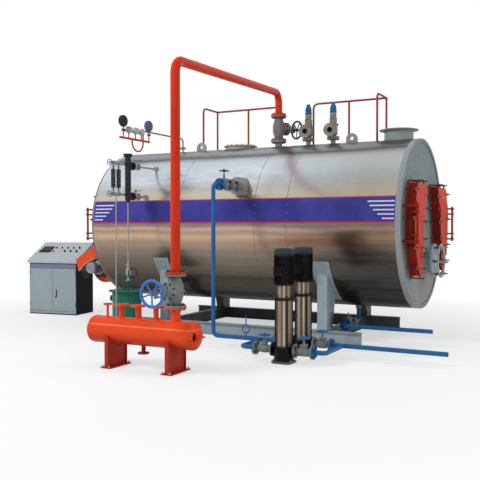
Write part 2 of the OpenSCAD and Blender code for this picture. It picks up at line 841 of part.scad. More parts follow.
// One safety valve on its nozzle flange, with its outlet towards -Y
module safety_valve() {
  z0 = stub_z + 20;
  outlet_z = z0 + 110;
  cap_z = z0 + 330;
  difference() {
    union() {
      translate([0, 0, z0]) flange(93, 20, 0, safety_bolt_r, 4, 9);
      translate([0, 0, z0]) rotate_extrude() polygon([[0, 0], [42, 0], [42, 30], [66, 60], [66, 160],
        [52, 185], [80, 190], [80, 206], [50, 212], [44, 300], [44, 330], [0, 330]]);
      for (i = [0 : 3]) rotate([0, 0, i * 90 + 45]) translate([40, -5, z0 + 200]) cube([18, 10, 110]);
      translate([0, 0, cap_z]) rotate_extrude() polygon([[0, 0], [52, 0], [52, 20], [46, 26],
        [44, 150], [30, 168], [0, 172]]);
      translate([-7, -10, cap_z + 60]) cube([14, 90, 22]);
      translate([-7, 74, cap_z - 110]) cube([14, 12, 192]);
      bar_y(0, -safety_out, outlet_z, 50, safety_out);
      translate([0, -safety_out, outlet_z]) rotate([-90, 0, 0]) flange(100, 18, 0, 80, 4, 9);
    }
    bar_y(0, -safety_out - 10, outlet_z, 38, safety_out - 30);
  }
}

module safety_valves() {
  color("silver") for (x = safety_x) translate([x, 0, 0]) safety_valve();
}

valve_len = 370;

// A flanged globe valve, its lower face at the origin, its flow along +Z and its stem along +X
// The flanges are turned back by the stem's turn, so that their holes meet those of the pipes
module globe_valve(len, r, flange_r, flange_t, bolt_r, bolts, stem_out, stem_r, stem_turn) {
  mid = len / 2;
  bonnet_r = r * 1.85;
  joint_x = r * 2.1;
  cover_x = joint_x + 25;
  yoke_x = cover_x + 22;
  nut_x = stem_out - 82;
  for (z = [0, len - flange_t]) translate([0, 0, z]) rotate([0, 0, -stem_turn])
    flange(flange_r, flange_t, 0, bolt_r, bolts, 9);
  rotate_extrude() polygon([[0, 0], [r, 0], [r * 1.1, flange_t + 10], [r * 1.7, mid - r * 0.9],
    [r * 1.7, mid + r * 0.9], [r * 1.1, len - flange_t - 10], [r, len], [0, len]]);
  translate([0, 0, mid]) {
    rotate([0, 90, 0]) rotate_extrude() polygon([[0, 0], [r * 1.5, 0], [r * 1.5, joint_x],
      [bonnet_r, joint_x], [bonnet_r, joint_x + 20], [bonnet_r - 6, joint_x + 20],
      [bonnet_r - 6, cover_x], [bonnet_r, cover_x], [bonnet_r, yoke_x], [r, yoke_x],
      [r * 0.5, yoke_x + 26], [r * 0.5, yoke_x + 40], [stem_r, yoke_x + 40], [stem_r, nut_x],
      [r * 0.5, nut_x], [r * 0.5, nut_x + 40], [stem_r + 6, nut_x + 44], [stem_r + 6, stem_out - hub_half],
      [stem_r, stem_out - hub_half], [stem_r, stem_out + hub_half], [stem_r + 6, stem_out + hub_half],
      [stem_r + 6, stem_out + 34], [0, stem_out + 34]]);
    for (side = [-1, 1]) bar_x(yoke_x - 4, 0, side * r * 0.85, 8, nut_x + 22 - yoke_x);
    translate([nut_x + 8, -11, -r * 1.05]) cube([24, 22, r * 2.1]);
  }
}

wheel_stem_r = 11;
main_stem_turn = 60;
main_valve_z = stub_z + steam_flange_t;
main_stem_out = 350;
header_stem_out = 450;

module main_steam_valve() {
  color("dimgray") translate([steam_x, 0, main_valve_z]) rotate([0, 0, main_stem_turn])
    globe_valve(valve_len + 20, steam_r, steam_flange_r, steam_flange_t, steam_bolt_r, 8,
      main_stem_out, wheel_stem_r, main_stem_turn);
}

module main_steam_wheel() {
  color("midnightblue") translate([steam_x, 0, main_valve_z + valve_len / 2 + 10])
    rotate([0, 0, main_stem_turn]) translate([main_stem_out, 0, 0]) rotate([0, 90, 0])
      handwheel(big_wheel_r - 4, 30, 5, wheel_stem_r + 0.06);
}

module header_valve() {
  stem_turn = -90;
  color("gray") translate([inlet_x, -header_y, nozzle_z]) rotate([0, 0, stem_turn])
    globe_valve(valve_len, steam_r, steam_flange_r, steam_flange_t, steam_bolt_r, 8,
      header_stem_out, wheel_stem_r, stem_turn);
}

module header_wheel() {
  color("steelblue") translate([inlet_x, -header_y, nozzle_z + valve_len / 2])
    rotate([0, 0, -90]) translate([header_stem_out, 0, 0]) rotate([0, 90, 0])
      handwheel(big_wheel_r, 32, 5, wheel_stem_r + 0.06);
}

steam_a = [steam_x, 0, steam_top_z];
steam_b = [inlet_x, -header_y, steam_far_z];
steam_dir = (steam_b - steam_a) / norm(steam_b - steam_a);
steam_yaw = atan2(steam_dir[1], steam_dir[0]);
turn_a = acos(steam_dir[2]);
turn_b = 180 - turn_a;
cut_a = steam_bend * tan(turn_a / 2);
cut_b = steam_bend * tan(turn_b / 2);
riser_z = main_valve_z + valve_len + 20;

module steam_riser() {
  color("orangered") {
    translate([steam_x, 0, riser_z])
      flange(steam_flange_r, steam_flange_t, steam_r - steam_wall, steam_bolt_r, 8, 9);
    pipe([steam_x, 0, riser_z + steam_flange_t], steam_a - [0, 0, cut_a], steam_r, steam_wall);
    translate(steam_a - [0, 0, cut_a]) rotate([0, 0, steam_yaw])
      bend(steam_bend, steam_r, steam_wall, turn_a);
  }
}

module steam_run() {
  color("orangered") pipe(steam_a + steam_dir * cut_a, steam_b - steam_dir * cut_b, steam_r, steam_wall);
}

module steam_drop() {
  flange_z = nozzle_z + valve_len;
  color("orangered") {
    translate([inlet_x, -header_y, flange_z])
      flange(steam_flange_r, steam_flange_t, steam_r - steam_wall, steam_bolt_r, 8, 9);
    pipe([inlet_x, -header_y, flange_z + steam_flange_t], steam_b - [0, 0, cut_b], steam_r, steam_wall);
    translate(steam_b - [0, 0, cut_b]) rotate([0, 0, steam_yaw + 180])
      bend(steam_bend, steam_r, steam_wall, turn_b);
  }
}

// Header branches: place, pipe radius, flange radius and bolt circle radius
branches = [[936, 14, 50, 36], [1137, 30, 90, 72], [1371, 30, 90, 72], [1615, 30, 90, 72],
  [inlet_x, steam_r, steam_flange_r, steam_bolt_r]];
drain_x = 1444;
drain_z = 171;

module header_barrel() {
  flange_t = 20;
  color("orangered") difference() {
    union() {
      bar_x(header_x0, -header_y, header_z, header_r, header_x1 - header_x0);
      for (b = branches) {
        bar_z(b[0], -header_y, header_z, b[1], nozzle_z - header_z);
        translate([b[0], -header_y, nozzle_z - flange_t])
          flange(b[2], flange_t, b[1] - 4, b[3], b[2] > 100 ? 8 : 4, b[2] > 60 ? 9 : 6);
      }
      bar_z(drain_x, -header_y, drain_z, 24, header_z - drain_z);
      translate([drain_x, -header_y, drain_z]) flange(65, 16, 20, 48, 4, 7);
    }
    bar_x(header_x0 - over, -header_y, header_z, header_r - header_wall,
      header_x1 - header_x0 + 2 * over);
    for (b = branches) bar_z(b[0], -header_y, header_z, b[1] - 4, nozzle_z);
    bar_z(drain_x, -header_y, 0, 20, header_z);
  }
}

// A dished head whose rim is at the origin, with its crown towards +Z
module dished_head() {
  rise = head_depth - 24;
  steps = 8;
  rotate_extrude() polygon(concat([[header_r, 0]],
    [for (i = [0 : steps]) [header_r * cos(i * 90 / steps), 24 + rise * sin(i * 90 / steps)]],
    [for (i = [steps : -1 : 0]) [(header_r - header_wall) * cos(i * 90 / steps),
      24 + (rise - header_wall) * sin(i * 90 / steps)]],
    [[header_r - header_wall, 0]]));
}

module header_heads() {
  hole_y = -header_y - 72;
  color("orangered") {
    difference() {
      union() {
        translate([header_x1, -header_y, header_z]) rotate([0, 90, 0]) dished_head();
        bar_x(header_x1 + 50, hole_y, header_z, hand_hole_r + 10, 26);
      }
      bar_x(header_x1, hole_y, header_z, hand_hole_r, 2 * head_depth);
    }
    translate([header_x1 + head_depth - 4, -header_y, header_z]) rotate([0, 90, 0])
      cylinder(r1 = 24, r2 = 8, h = 84);
    translate([header_x0, -header_y, header_z]) rotate([0, -90, 0]) dished_head();
  }
}

module header_legs() {
  leg_x = [header_x0 + 265, inlet_x];
  foot_t = 12;
  plate = 10;
  top_z = header_z - 60;
  color("orangered") for (x = leg_x) difference() {
    union() {
      translate([x - 70, -header_y - 200, 0]) cube([140, 400, foot_t]);
      translate([x - 6, -header_y - 170, foot_t]) cube([12, 340, top_z - foot_t]);
      for (y = [-180, 170]) translate([x - header_leg_w / 2, -header_y + y, foot_t])
        cube([header_leg_w, plate, top_z - foot_t]);
    }
    bar_x(x - 200, -header_y, header_z, header_r + seat, 400);
  }
}

module gauge_manifold() {
  line_z = shell_top + gauge_rise;
  line_r = 12;
  r_bend = 60;
  base_z = shell_top + gauge_stub;
  bar_level = shell_top + gauge_bar_rise;
  loop_z = bar_level - 23 - loop_r;
  down_y = -1140;
  up_y = down_y - 2 * loop_r;
  color("firebrick") {
    bar_z(gauge_x, 0, base_z, gauge_flange_r, 14);
    bar_z(gauge_x, 0, base_z + 14, line_r, line_z - r_bend - base_z - 14);
    turn([gauge_x, 0, line_z], [0, 0, 1], [0, -1, 0], r_bend, line_r);
    bar_y(gauge_x, down_y + r_bend, line_z, line_r, -down_y - 2 * r_bend);
    turn([gauge_x, down_y, line_z], [0, -1, 0], [0, 0, -1], r_bend, line_r);
    bar_z(gauge_x, down_y, loop_z + loop_r, line_r, line_z - r_bend - loop_z - loop_r);
    turn([gauge_x, down_y, loop_z], [0, 0, -1], [0, -1, 0], loop_r, line_r);
    turn([gauge_x, up_y, loop_z], [0, -1, 0], [0, 0, 1], loop_r, line_r);
    bar_z(gauge_x, up_y, loop_z + loop_r, line_r, bar_level - loop_z - loop_r);
    bar_y(gauge_x + dial_out, -gauge_bar_y, bar_level, 16, gauge_bar_len);
    bar_x(gauge_x, up_y, bar_level, line_r, dial_out);
    for (y = concat(dial_y, switch_y)) bar_z(gauge_x + dial_out, y, bar_level, 9, dial_base);
  }
}

// Places along the gauge bar, and its distance from the connecting pipe
dial_out = 45;
dial_base = 70;
gauge_bar_len = 738;
dial_y = [82 - gauge_bar_y, gauge_bar_len - 15 - gauge_bar_y];
switch_y = [211 - gauge_bar_y, 377 - gauge_bar_y, 527 - gauge_bar_y];

module pressure_gauges() {
  cock_r = 20;
  case_t = 40;
  dial_turn = 174;
  stand_z = shell_top + gauge_bar_rise + dial_base;
  color("dimgray") for (y = dial_y) translate([gauge_x + dial_out, y, stand_z]) {
    cylinder(r = 10, h = 105);
    bar_y(0, -26, 42, cock_r, 52);
    translate([0, 0, 90 + dial_r]) rotate([0, 0, dial_turn]) rotate([0, 90, 0])
      translate([0, 0, -case_t / 2])
      rotate_extrude() polygon([[0, 0], [dial_r - 12, 0], [dial_r, 10], [dial_r, case_t],
        [dial_r - 8, case_t], [dial_r - 8, case_t - 6], [0, case_t - 6]]);
  }
}

module pressure_switches() {
  stand_z = shell_top + gauge_bar_rise + dial_base;
  color("silver") for (y = switch_y) translate([gauge_x + dial_out, y, stand_z]) {
    cylinder(r = 14, h = 20);
    translate([-30, -45, 20]) cube([60, 90, 75]);
    translate([-22, -37, 95]) cube([44, 74, 12]);
    bar_y(0, -58, 48, 11, 20);
  }
}

module water_column() {
  cap_r = 66;
  color("black") {
    bar_z(column_x, -column_y, column_z0, column_r, column_z1 - column_z0);
    bar_z(column_x, -column_y, column_z1, cap_r, 20);
    bar_z(column_x, -column_y, column_z1 - 22, cap_r, 20);
    translate([column_x, -column_y, column_bottom]) cylinder(r1 = 18, r2 = column_r, h = 44);
    for (z = column_links) {
      bar_y(column_x, -column_y, z, 17, 120);
      bar_y(column_x, -column_y + 104, z, 60, 16);
      bar_y(column_x, -column_y - 130, z + 20, 15, 130);
    }
  }
}

module gauge_glass() {
  slot_w = 14;
  bar_h = 270;
  bar_z0 = link_low + 110;
  color("black") for (side = [-1, 1]) {
    y = glass_y + side * glass_pitch / 2;
    difference() {
      translate([column_x - glass_w / 2, y - glass_w / 2, bar_z0]) cube([glass_w, glass_w, bar_h]);
      translate([column_x - glass_w, y - slot_w / 2, bar_z0 + 25])
        cube([2 * glass_w, slot_w, bar_h - 50]);
    }
    bar_z(column_x, y, link_low + 20 + cock_half, 10, bar_z0 - link_low - 20 - cock_half);
    bar_z(column_x, y, bar_z0 + bar_h, 10, link_high + 20 - cock_half - bar_z0 - bar_h);
  }
}
// Half the width of a gauge cock's body
cock_half = 26;

module column_fittings() {
  pipe_r = 9;
  color("silver") {
    difference() {
      for (z = column_links) union() {
        bar_y(column_x, -column_y + 120, z, 60, 16);
        bar_y(column_x, -column_y + 136, z, 34, 100);
        bar_z(column_x, -column_y + 186, z, 14, 70);
        bar_z(column_x, -column_y + 186, z + 70, 26, 10);
        bar_y(column_x, -column_y + 236, z, 56, 16);
        bar_y(column_x, -column_y + 236, z, 14, column_y);
        bar_y(column_x, -shell_side(z) - 30, z, 40, shell_r / 2);
      }
      shell_cut();
    }
    for (z = column_links) {
      bar_y(column_x, cock_end_y, z + 20, 15, -column_y - 130 - cock_end_y);
      for (side = [-1, 1]) translate([column_x - cock_half, glass_y + side * glass_pitch / 2 - cock_half,
        z + 20 - cock_half]) cube(2 * cock_half);
      bar_y(column_x, cock_end_y - 80, z + 20, 5.7, 80);
    }
    bar_z(column_x, glass_y, 60, pipe_r, link_low - 40);
    bar_z(column_x, -column_y, drain_valve_z + drain_valve_h, pipe_r,
      column_bottom - drain_valve_z - drain_valve_h);
    translate([column_x, -column_y, drain_valve_z]) {
      for (z = [0, drain_valve_h - 14]) cylinder_at(z, 40, 14);
      rotate_extrude() polygon([[0, 0], [18, 0], [18, 50], [38, 90], [38, 155], [18, 195],
        [18, drain_valve_h], [0, drain_valve_h]]);
      translate([0, 0, drain_valve_h / 2]) rotate([0, 0, drain_valve_turn]) rotate([0, 90, 0])
        rotate_extrude() polygon([[0, 0], [28, 0], [28, 60], [36, 60], [36, 76], [14, 84], [10, 130],
          [5.7, 130], [5.7, drain_wheel_out + 24], [0, drain_wheel_out + 24]]);
    }
  }
}

// Half the shell's width at height z
function shell_side(z) = sqrt(pow(shell_r, 2) - pow(z - axis_z, 2));

// A disc round the Z axis, its lower face at z
module cylinder_at(z, r, h) {
  translate([0, 0, z]) cylinder(r = r, h = h);
}

module cooler_tank() {
  color("seagreen") translate([column_x - 20, -column_y - 5, 0]) {
    difference() {
      cylinder(r = cooler_r, h = cooler_h);
      translate([0, 0, 8]) cylinder(r = cooler_r - cooler_wall, h = cooler_h);
    }
    bar_x(-cooler_r - 62, 0, 535, 34, 64);
    bar_x(-cooler_r - 62, 0, 535, 44, 12);
  }
}

module cooler_lid() {
  lid_t = 14;
  pipe_r = 12;
  neck_r = 62;
  neck_top = 276;
  back_y = -30;
  left_x = -160;
  color("seagreen") translate([column_x - 20, -column_y - 5, cooler_h]) {
    rotate([0, 0, 22.5]) cylinder(r = lid_r, h = lid_t, $fn = 8);
    for (x = [left_x, left_x + 2 * neck_r])
      bar_z(x, back_y, lid_t, pipe_r, neck_top - neck_r - lid_t);
    turn([left_x, back_y, neck_top], [0, 0, 1], [1, 0, 0], neck_r, pipe_r);
    turn([left_x + 2 * neck_r, back_y, neck_top], [1, 0, 0], [0, 0, -1], neck_r, pipe_r);
    bar_z(20, 5, lid_t, 14, drain_valve_z - cooler_h - lid_t);
  }
}

// A small flanged valve along +X with its ends at 0 and len, and a wheel stem of height up
module small_valve(len, r, up) {
  for (x = [0, len - small_flange_t]) line_flange(x, 0, 0);
  rotate([0, 90, 0]) rotate_extrude() polygon([[0, 0], [r, 0], [r, small_flange_t], [r * 1.8, len * 0.35],
    [r * 1.8, len * 0.65], [r, len - small_flange_t], [r, len], [0, len]]);
  translate([len / 2, 0, 0]) rotate_extrude() polygon([[0, 0], [r * 1.3, 0], [r * 1.3, r * 2.2],
    [r * 1.8, r * 2.2], [r * 1.8, r * 2.8], [r * 0.7, r * 3], [r * 0.45, up * 0.75], [8, up * 0.8],
    [8, up + 10], [0, up + 10]]);
}

// A small flanged check valve along +X with its ends at 0 and len, and a round cover on top
module check_valve(len, r) {
  for (x = [0, len - small_flange_t]) line_flange(x, 0, 0);
  rotate([0, 90, 0]) rotate_extrude() polygon([[0, 0], [r, 0], [r, small_flange_t], [r * 1.9, len * 0.35],
    [r * 1.9, len * 0.65], [r, len - small_flange_t], [r, len], [0, len]]);
  translate([len / 2, 0, 0]) rotate_extrude() polygon([[0, 0], [r * 1.5, 0], [r * 1.5, r * 2.2],
    [r * 2, r * 2.2], [r * 2, r * 2.8], [r * 1.9, r * 2.9], [0, r * 3.1]]);
}

pump_valve_len = 230;
valve_up = 160;
feed_valve_len = 200;
drain_valve_turn = -30;
drain_wheel_out = 165;

module line_valves() {
  color("gray") {
    for (y = [pump1_y, pump2_y]) for (x = [pump_port, -pump_port - pump_valve_len])
      translate([pump_x + x, y, port_z]) small_valve(pump_valve_len, feed_r, valve_up);
    translate([feed_x, -feed_flange_y, feed_z]) rotate([0, 0, -90]) check_valve(feed_valve_len, feed_r);
    translate([feed_x, -feed_flange_y - feed_valve_len, feed_z]) rotate([0, 0, -90])
      small_valve(feed_valve_len + 30, feed_r, 190);
    translate([blow_x, -330, blow_z]) rotate([0, 0, -90]) small_valve(pump_valve_len, feed_r, 150);
  }
}

module small_handwheels() {
  stem_r = 8.3;
  color("steelblue") {
    for (y = [pump1_y, pump2_y]) for (side = [-1, 1])
      translate([pump_x + side * (pump_port + pump_valve_len / 2), y, port_z + valve_up])
        handwheel(74, 14, 4, stem_r);
    translate([feed_x, -feed_flange_y - feed_valve_len * 1.5 - 15, feed_z + 190])
      handwheel(70, 14, 4, stem_r);
    for (z = column_links) translate([column_x, cock_end_y - 55, z + 20]) rotate([90, 0, 0])
      handwheel(48, 10, 4, 6);
    translate([column_x, -column_y, drain_valve_z + drain_valve_h / 2]) rotate([0, 0, drain_valve_turn])
      translate([drain_wheel_out, 0, 0]) rotate([0, 90, 0]) handwheel(76, 14, 4, 6);
  }
}

feed_end_y = feed_flange_y + 2 * feed_valve_len + 30;

module feed_line() {
  r_bend = 70;
  x_end = pump_x - pump_port - pump_valve_len;
  tee_x = x_end - 200;
  pipe_end = x_end - small_flange_t;
  riser = [[feed_x, -feed_end_y - small_flange_t, feed_z], [feed_x, -feed_y, feed_z],
    [feed_x, -feed_y, port_z], [pipe_end, -feed_y, port_z]];
  branch = [[tee_x, -feed_y, port_z], [tee_x, pump1_y, port_z], [pipe_end, pump1_y, port_z]];
  bore_r = feed_r - feed_wall;
  siphon_x = feed_x + 493;
  siphon_r = 8;
  ring_r = 52;
  color("steelblue") {
    difference() {
      union() {
        bent_bar(riser, r_bend, feed_r);
        bent_bar(branch, r_bend, feed_r);
        translate([feed_x, -feed_end_y, feed_z]) rotate([90, 0, 0])
          flange(small_flange_r, small_flange_t, 0, small_bolt_r, 4, 8);
        for (y = [pump1_y, -feed_y]) line_flange(pipe_end, y, port_z);
      }
      bent_bar([riser[0] + [0, small_flange_t + over, 0], riser[1], riser[2],
        riser[3] + [small_flange_t + over, 0, 0]], r_bend, bore_r);
      bent_bar([branch[0], branch[1], branch[2] + [small_flange_t + over, 0, 0]], r_bend, bore_r);
    }
    bar_z(siphon_x, -feed_y, port_z + feed_r - 3, siphon_r, 50);
    translate([siphon_x, -feed_y, port_z + feed_r + 42 + ring_r]) rotate([90, 0, 0])
      rotate_extrude() translate([ring_r, 0]) circle(r = siphon_r, $fn = 24);
    bar_z(siphon_x, -feed_y, port_z + feed_r + 42 + 2 * ring_r, siphon_r, 120);
  }
}

// A pump's base plate with its corners cut off
module pump_foot(half, cut, t) {
  side = half - cut;
  linear_extrude(t) polygon([[-half, -side], [-side, -half], [side, -half], [half, -side],
    [half, side], [side, half], [-side, half], [-half, side]]);
}

module pump_bases() {
  foot_t = 24;
  ring_t = 16;
  ring_r = pump_col_r + 28;
  stay_r = 8;
  port_r = pump_base_z - port_z;
  color("black") for (y = [pump1_y, pump2_y]) translate([pump_x, y, 0]) {
    pump_foot(125, 38, foot_t);
    bar_z(0, 0, foot_t, pump_col_r + 23, pump_base_z - foot_t);
    for (side = [-1, 1]) {
      bar_x(side > 0 ? 0 : -pump_port, 0, port_z, port_r, pump_port);
      line_flange(side > 0 ? pump_port - small_flange_t : -pump_port, 0, port_z);
    }
    for (i = [0 : 3]) rotate([0, 0, i * 90 + 45])
      bar_z(pump_col_r + 13, 0, pump_base_z, stay_r, lantern_z - ring_t - pump_base_z, $fn = 24);
    translate([0, 0, lantern_z - ring_t]) cylinder(r = ring_r, h = ring_t);
  }
}

module pump_columns() {
  ring_t = 16;
  color("silver") for (y = [pump1_y, pump2_y]) translate([pump_x, y, 0]) {
    bar_z(0, 0, pump_base_z, pump_col_r, lantern_z - ring_t - pump_base_z);
    bar_z(0, 0, lantern_z, pump_col_r - 13, stool_h);
  }
}
// Height of the guard between a pump's ring and its motor
stool_h = 150;

module pump_motors() {
  cowl_h = 60;
  fins = 24;
  motor_z = lantern_z + stool_h;
  body_r = pump_motor_r - 14;
  color("black") for (y = [pump1_y, pump2_y]) translate([pump_x, y, 0]) {
    bar_z(0, 0, motor_z, pump_motor_r, 18);
    bar_z(0, 0, motor_z, body_r, pump_h - motor_z - cowl_h);
    for (i = [0 : fins - 1]) rotate([0, 0, i * 360 / fins])
      translate([body_r - 6, -3, motor_z + 18]) cube([18, 6, pump_h - motor_z - cowl_h - 24]);
    translate([0, 0, pump_h - cowl_h]) rotate_extrude() polygon([[0, 0], [pump_motor_r - 2, 0],
      [pump_motor_r - 2, cowl_h - 14], [pump_motor_r - 18, cowl_h], [0, cowl_h]]);
    translate([-60, -pump_motor_r - 46, motor_z + 110]) cube([120, 90, 110]);
  }
}

module suction_line() {
  r_bend = 50;
  x_start = pump_x + pump_port + pump_valve_len;
  join_x = x_start + 150;
  bore_r = feed_r - feed_wall;
  main = [[x_start, pump2_y, port_z], [pipe_end_x, pump2_y, port_z]];
  branch = [[x_start, pump1_y, port_z], [join_x, pump1_y, port_z], [join_x, pump2_y, port_z]];
  color("steelblue") difference() {
    union() {
      bent_bar(main, r_bend, feed_r);
      bent_bar(branch, r_bend, feed_r);
      for (y = [pump1_y, pump2_y]) line_flange(x_start, y, port_z);
    }
    bent_bar(run_past(main), r_bend, bore_r);
    bent_bar([branch[0] - [over, 0, 0], branch[1], branch[2]], r_bend, bore_r);
  }
}

module blowdown_line() {
  r_bend = 60;
  valve_y = 330;
  end_y = valve_y + pump_valve_len;
  out_x = 4035;
  bore_r = feed_r - feed_wall;
  inner = [[blow_x, 0, blow_nozzle_z], [blow_x, 0, blow_z], [blow_x, -valve_y, blow_z]];
  outer = [[blow_x, -end_y, blow_z], [blow_x, -end_y - 80 - r_bend, blow_z],
    [out_x, -end_y - 80 - r_bend, blow_z]];
  color("steelblue") difference() {
    union() {
      bent_bar(inner, r_bend, feed_r);
      bent_bar(outer, r_bend, feed_r);
      for (y = [-valve_y, -end_y - small_flange_t]) translate([blow_x, y + small_flange_t, blow_z])
        rotate([90, 0, 0]) flange(small_flange_r, small_flange_t, 0, small_bolt_r, 4, 8);
    }
    bent_bar(run_past(inner), r_bend, bore_r);
    bent_bar(run_past(outer), r_bend, bore_r);
  }
}

// Puts a piece drawn round the console's middle at the console's place
module at_console() {
  translate([console_x, console_y, 0]) rotate([0, 0, console_turn]) children();
}

door_strip_h = 95;
plinth_h = 60;
console_door_w = console_w / 2 - console_t;
console_door_h = console_h - door_strip_h - plinth_h;

module console_cabinet() {
  color("slategray") at_console() {
    translate([-console_w / 2, console_d / 2 - console_t, 0]) cube([console_w, console_t, console_h]);
    for (side = [-1, 1])
      translate([side > 0 ? console_w / 2 - console_t : -console_w / 2, -console_d / 2, 0])
        cube([console_t, console_d, console_h]);
    translate([-console_w / 2, -console_d / 2, 0]) cube([console_w, console_d, plinth_h]);
    translate([-console_w / 2, -console_d / 2, console_h - door_strip_h])
      cube([console_w, console_t, door_strip_h]);
    translate([-console_w / 2, -console_d / 2, console_h - console_t])
      cube([console_w, console_d, console_t]);
  }
}

// A console door with its hinge edge at x = 0, its front at y = 0 and its width along +X
module console_leaf() {
  gap = 5;
  translate([seat, 0, plinth_h + gap])
    cube([console_door_w - seat - gap / 2, console_t, console_door_h - 2 * gap]);
}

module console_door_left() {
  color("lightslategray") at_console()
    translate([-console_w / 2 + console_t, -console_d / 2, 0]) console_leaf();
}

module console_door_right() {
  color("lightslategray") at_console()
    translate([console_w / 2 - console_t, -console_d / 2, 0]) mirror([1, 0, 0]) console_leaf();
}

module console_desk() {
  lip = 30;
  front_h = 45;
  color("gainsboro") at_console() translate([-console_w / 2 - lip, 0, console_h]) rotate([90, 0, 90])
    linear_extrude(console_w + 2 * lip) polygon([[-console_d / 2 - lip, 0], [console_d / 2 + lip, 0],
      [console_d / 2 + lip, desk_rise + front_h], [console_d / 2 - 40, desk_rise + front_h],
      [-console_d / 2 - lip, front_h]]);
}

boiler_shell();
front_plate();
rear_plate();
fire_tubes();
shell_nozzles();
top_manhole();
lifting_lugs();
flue_outlet();
handrails();
skid_frame();
saddle_legs();
door_davits();
rear_door_near();
rear_door_far();
vent_port();
front_door_near();
front_door_far();
burner_casing();
burner_motor();
safety_valves();
main_steam_valve();
main_steam_wheel();
steam_riser();
steam_run();
steam_drop();
header_valve();
header_wheel();
header_barrel();
header_heads();
header_legs();
gauge_manifold();
pressure_gauges();
pressure_switches();
water_column();
gauge_glass();
column_fittings();
cooler_tank();
cooler_lid();
line_valves();
feed_line();
pump_bases();
pump_columns();
pump_motors();
suction_line();
small_handwheels();
blowdown_line();
console_cabinet();
console_door_left();
console_door_right();
console_desk();
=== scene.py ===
from functools import partialmethod, reduce
from math import atan2, cos, pi, radians, sin, sqrt, tau

import bpy
from mathutils import Matrix, Vector


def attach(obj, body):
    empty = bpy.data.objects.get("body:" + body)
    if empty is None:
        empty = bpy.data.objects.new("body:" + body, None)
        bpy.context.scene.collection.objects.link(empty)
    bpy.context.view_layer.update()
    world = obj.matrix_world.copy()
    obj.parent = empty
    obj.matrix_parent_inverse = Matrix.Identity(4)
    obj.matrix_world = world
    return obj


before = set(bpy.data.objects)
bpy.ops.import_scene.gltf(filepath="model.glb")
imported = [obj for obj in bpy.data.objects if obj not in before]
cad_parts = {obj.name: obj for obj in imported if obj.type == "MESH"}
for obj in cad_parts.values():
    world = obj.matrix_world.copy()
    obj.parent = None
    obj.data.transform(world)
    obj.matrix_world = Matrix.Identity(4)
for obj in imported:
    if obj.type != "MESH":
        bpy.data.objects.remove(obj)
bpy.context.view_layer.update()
scene = bpy.context.scene
X, Y, Z = Vector((1, 0, 0)), Vector((0, 1, 0)), Vector((0, 0, 1))

# Main sizes of the plant, in metres in the row frame
AXIS_Z, SHELL_R = 1.65, 1.2
BOTTOM_Z, TOP_Z = AXIS_Z - SHELL_R, AXIS_Z + SHELL_R
FRONT_X, REAR_X = -1.225, 3.725
FURNACE_Z = 1.13
PUMP_X, PUMP_Y = 2.695, (-2.47, -1.88)
# Arc of the burner's air intake: its centre and radius
INTAKE_X, INTAKE_Z, INTAKE_R = FRONT_X - 0.56, 0.3654, 0.7


def in_scene(name, data):
    """A new object in the scene."""
    ob = bpy.data.objects.new(name, data)
    scene.collection.objects.link(ob)
    return ob


# Camera and light
cam_data = bpy.data.cameras.new("camera")
cam_data.lens = 53.49
cam_data.sensor_width = 36
cam_data.clip_end = 200
camera = in_scene("camera", cam_data)
camera.location = (6.174, -10.155, 1.614)
camera.rotation_euler = (radians(88.893), 0, radians(27.886))
scene.camera = camera
scene.view_settings.view_transform = "Standard"


def lamp(name, place, aim, size, power):
    """A rectangular lamp that lights the object and isn't seen in it."""
    data = bpy.data.lights.new(name, "AREA")
    data.shape = "RECTANGLE"
    data.size, data.size_y = size
    data.energy = power
    ob = in_scene(name, data)
    ob.location = place
    ob.rotation_euler = (Vector(aim) - Vector(place)).to_track_quat("-Z", "Y").to_euler()
    ob.visible_glossy = False


lamp("key", (-3.5, -9.5, 8.0), (1.2, 0, 1.2), (3.5, 3.5), 760)
lamp("fill", (8.5, -7.5, 4.0), (1.5, -0.5, 1.4), (5, 5), 110)
lamp("rear", (9.0, 0.0, 5.0), (3.5, 0, 1.5), (4, 5), 150)
lamp("top", (1.2, 0.5, 9.5), (1.2, 0, 0), (8, 5), 170)


# Node helpers
def srgb(r, g, b):
    """Linear colour from the 0 to 255 values of a display."""
    def linear(v):
        v /= 255
        return v / 12.92 if v <= 0.04045 else ((v + 0.055) / 1.055) ** 2.4
    return linear(r), linear(g), linear(b)


def shade(color, factor, lift=0.0):
    return tuple(min(1, c * factor + lift) for c in color)


